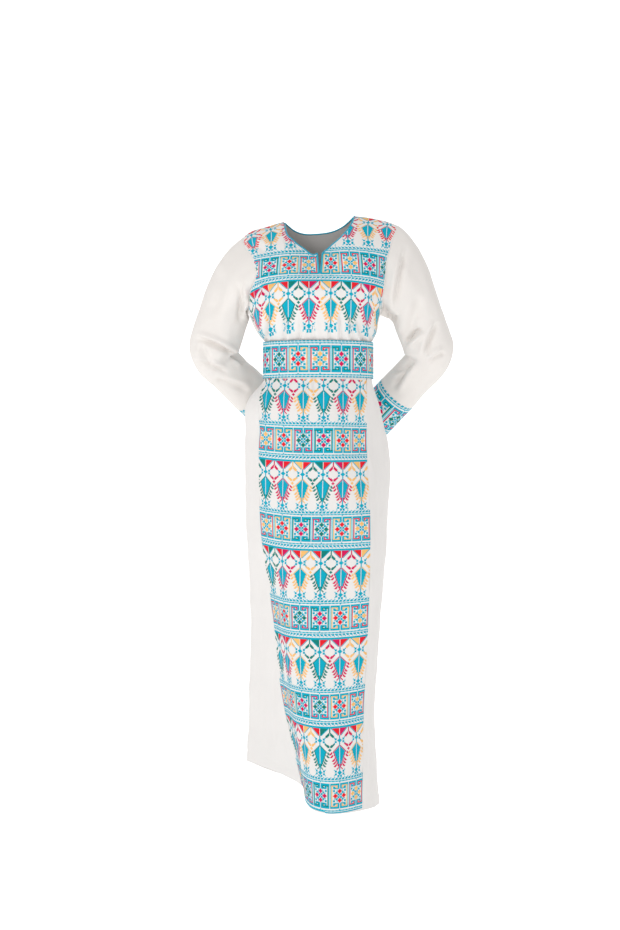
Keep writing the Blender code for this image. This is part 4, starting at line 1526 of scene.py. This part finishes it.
class THOBE_OT_bodice(bpy.types.Operator):
    """Sews the bodice's front and back, and works the front's stitches"""

    bl_idname = "thobe.bodice"
    bl_label = "Bodice"

    def execute(self, context):
        stitches = stitch_piece("bodice_stitches", [bodice_patch(-1), bodice_patch(1)])
        for name, front, slot in (("front", True, "embroidered_cloth"), ("back", False, "white_cloth")):
            left, right = bodice_grid(1, front), bodice_grid(-1, front)
            grids = [right[:, ::-1], left] if front else [left[:, ::-1], right]
            made = cloth_piece(f"bodice_{name}_cloth", grids, (f"bodice_{name}",))
            cover(made, grids)
            declare(grids)
        return {"FINISHED"}


class THOBE_OT_sleeves(bpy.types.Operator):
    """Sews both sleeves and their stitched cuffs"""

    bl_idname = "thobe.sleeves"
    bl_label = "Sleeves and cuffs"

    def execute(self, context):
        for name, side in (("right", -1), ("left", 1)):
            grid = sleeve_grid(side)
            grid = grid if side < 0 else grid[:, ::-1]
            grid = grid[::-1]
            grid = folded(grid, SLEEVE_FOLDS[side], grid_normals(grid, True), 0.8, SLEEVE_DEPTH)
            made = cloth_piece(f"sleeve_{name}_cloth", [grid], (f"sleeve_{name}",), True)
            # The sleeves' white carries painted shade: a little warmer and darker than the rest
            cover(made, [grid], SLEEVE_SHADE_TINT)
            declare([grid])
            self.cuff(name, side)
        return {"FINISHED"}

    def cuff(self, name, side):
        rows = BOX_ROWS + 2 * CUFF_BORDER + 1
        rings = cuff_grid(side, rows, CUFF_GRID[1])
        rings = rings if side < 0 else rings[:, ::-1]
        stitches = stitch_piece(
            f"cuff_{name}_stitches", [band_patch(rings, CUFF_BOXES, CUFF_BORDER)]
        )
        grid = cuff_grid(side, *CUFF_GRID)
        grid = (grid if side < 0 else grid[:, ::-1])[::-1]
        made = cloth_piece(f"cuff_{name}_cloth", [grid], (f"cuff_{name}",), True)
        cover(made, [grid])
        declare([grid])


class THOBE_OT_belt(bpy.types.Operator):
    """Sews the belt and works its stitches"""

    bl_idname = "thobe.belt"
    bl_label = "Belt"

    def execute(self, context):
        grid = belt_grid(*BELT_GRID)
        made = cloth_piece("belt_cloth", [grid], ("belt",), True)
        cover(made, [grid])
        rows = BOX_ROWS + 2 * BELT_BORDER
        columns = BELT_GRID[1]
        before = columns // MOTIF // 2
        start = BELT_PHASE - (before * MOTIF + HALF_MOTIF) * sheet_area([grid])[1] / columns
        rings = belt_grid(rows, columns, start)[::-1]
        stitches = stitch_piece("belt_stitches", [band_patch(rings, BELT_BOXES, BELT_BORDER, -before)])
        declare([grid])
        return {"FINISHED"}


class THOBE_OT_binding(bpy.types.Operator):
    """Lays the corded binding round the neck and its slit"""

    bl_idname = "thobe.binding"
    bl_label = "Neck binding"

    def execute(self, context):
        radius = context.scene.thobe_sizes.binding
        path = self.path(radius)
        around = 12
        ahead = unit(np.roll(path, -1, axis=0) - np.roll(path, 1, axis=0))
        off = unit(path * (1, 1, 0) + (0, 0, 0.02))
        side = unit(np.cross(ahead, off))
        off = np.cross(side, ahead)
        turn = np.linspace(0.0, math.tau, around + 1)[None, :, None]
        rings = path[:, None] + radius * (off[:, None] * np.cos(turn) + side[:, None] * np.sin(turn))
        rings = np.concatenate([rings, rings[:1]])
        made = flat_grid("neck_cord", rings, True, (0.0, 1.0))
        merge(made, 0.00002)
        choose(made)
        bpy.ops.object.mode_set(mode="EDIT")
        bpy.ops.mesh.select_all(action="SELECT")
        bpy.ops.mesh.normals_make_consistent(inside=False)
        bpy.ops.object.mode_set(mode="OBJECT")
        bpy.ops.object.shade_smooth()
        made.data.materials.clear()
        made.data.materials.append(binding_material())
        dress(made, ("neck_binding",))
        return {"FINISHED"}

    def path(self, radius):
        """A closed line round the neck: the front neckline, down and up its slit, and the back neckline."""
        neck = int(round(NECK_SHARE * BODICE_GRID[1]))
        left, right = bodice_grid(1, True), bodice_grid(-1, True)
        back_left, back_right = bodice_grid(1, False), bodice_grid(-1, False)
        open_rows = np.flatnonzero(left[:, 0, 2] > SLIT_BOTTOM + 0.001)
        line = np.vstack(
            [
                right[-1, neck:0:-1],
                right[open_rows[::-1], 0],
                left[open_rows, 0],
                left[-1, 1 : neck + 1],
                back_left[-1, neck:0:-1],
                back_right[-1, : neck + 1],
            ]
        )
        along = run_along(np.vstack([line, line[:1]]))
        even = sample(np.vstack([line, line[:1]]), along, np.linspace(0.0, along[-1], 361)[:-1])
        for _ in range(3):
            even = (np.roll(even, 1, axis=0) + 2 * even + np.roll(even, -1, axis=0)) / 4
        return even


class THOBE_OT_stage(bpy.types.Operator):
    """Sets up the pale stage, the soft light and the camera"""

    bl_idname = "thobe.stage"
    bl_label = "Stage"

    def execute(self, context):
        self.sweep()
        self.light("key_light", (-2.8, -3.4, 1.2), 1.2, 34.0)
        self.light("fill_light", (2.6, -3.8, -0.2), 3.0, 6.0)
        self.light("low_light", (-0.3, -5.6, -1.45), 1.6, 46.0)
        self.light("top_light", (0.0, 0.6, 3.2), 3.0, 10.0)
        world = bpy.data.worlds.new("studio")
        world.use_nodes = True
        backdrop = world.node_tree.nodes["Background"]
        backdrop.inputs["Color"].default_value = (1.0, 1.0, 1.0, 1.0)
        backdrop.inputs["Strength"].default_value = 0.69
        context.scene.world = world
        camera = bpy.data.cameras.new("camera")
        camera.sensor_fit = "AUTO"
        camera.sensor_width = 36.0
        camera.lens = camera.sensor_width * CAMERA_DISTANCE / FRAME_HEIGHT
        made = bpy.data.objects.new("camera", camera)
        made.location = (-0.020, -CAMERA_DISTANCE, -0.595)
        made.rotation_euler = (math.pi / 2, 0.0, 0.0)
        context.scene.collection.objects.link(made)
        context.scene.camera = made
        context.scene.view_settings.view_transform = "Standard"
        return {"FINISHED"}

    def sweep(self):
        """Floor and backdrop in one paper sweep."""
        floor, depth, height, bend = -1.53, 7.0, 7.0, 2.5
        turn = np.linspace(0.0, math.pi / 2, 24)
        line = [(-16.0, floor)]
        line += [(depth - bend + bend * math.sin(a), floor + bend - bend * math.cos(a)) for a in turn]
        line += [(depth, floor + height)]
        across = np.linspace(14.0, -14.0, 3)
        grid = np.array([[(x, y, z) for x in across] for y, z in line])
        made = flat_grid("paper_sweep", grid[:, ::-1], False, (0.0, 1.0))
        made.data.materials.clear()
        made.data.materials.append(stage_material())
        choose(made)
        bpy.ops.object.shade_smooth()

    def light(self, name, place, size, power):
        lamp = bpy.data.lights.new(name, "AREA")
        lamp.shape = "SQUARE"
        lamp.size = size
        lamp.energy = power
        made = bpy.data.objects.new(name, lamp)
        made.location = place
        aim = Vector((0.0, 0.0, -0.7)) - Vector(place)
        made.rotation_euler = aim.to_track_quat("-Z", "Y").to_euler()
        bpy.context.scene.collection.objects.link(made)


class THOBE_PT_workshop(bpy.types.Panel):
    """The dress's pieces, sizes and colours"""

    bl_label = "Thobe"
    bl_idname = "THOBE_PT_workshop"
    bl_space_type = "VIEW_3D"
    bl_region_type = "UI"
    bl_category = "Thobe"

    def draw(self, context):
        for group in (context.scene.thobe_sizes, context.scene.thobe_colours):
            for name in group.__annotations__:
                self.layout.prop(group, name)
        for operator in OPERATORS:
            self.layout.operator(operator.bl_idname)


OPERATORS = (
    THOBE_OT_stage,
    THOBE_OT_skirt,
    THOBE_OT_bodice,
    THOBE_OT_sleeves,
    THOBE_OT_belt,
    THOBE_OT_binding,
)
CLASSES = (ThobeSizes, ThobeColours, *OPERATORS, THOBE_PT_workshop)


def register():
    for item in CLASSES:
        bpy.utils.register_class(item)
    bpy.types.Scene.thobe_sizes = PointerProperty(type=ThobeSizes)
    bpy.types.Scene.thobe_colours = PointerProperty(type=ThobeColours)


def unregister():
    del bpy.types.Scene.thobe_colours
    del bpy.types.Scene.thobe_sizes
    for item in reversed(CLASSES):
        bpy.utils.unregister_class(item)


def main():
    """Sews the whole dress on its stage."""
    register()
    bpy.ops.thobe.stage()
    bpy.ops.thobe.skirt()
    bpy.ops.thobe.bodice()
    bpy.ops.thobe.sleeves()
    bpy.ops.thobe.belt()
    bpy.ops.thobe.binding()


if __name__ == "__main__":
    main()
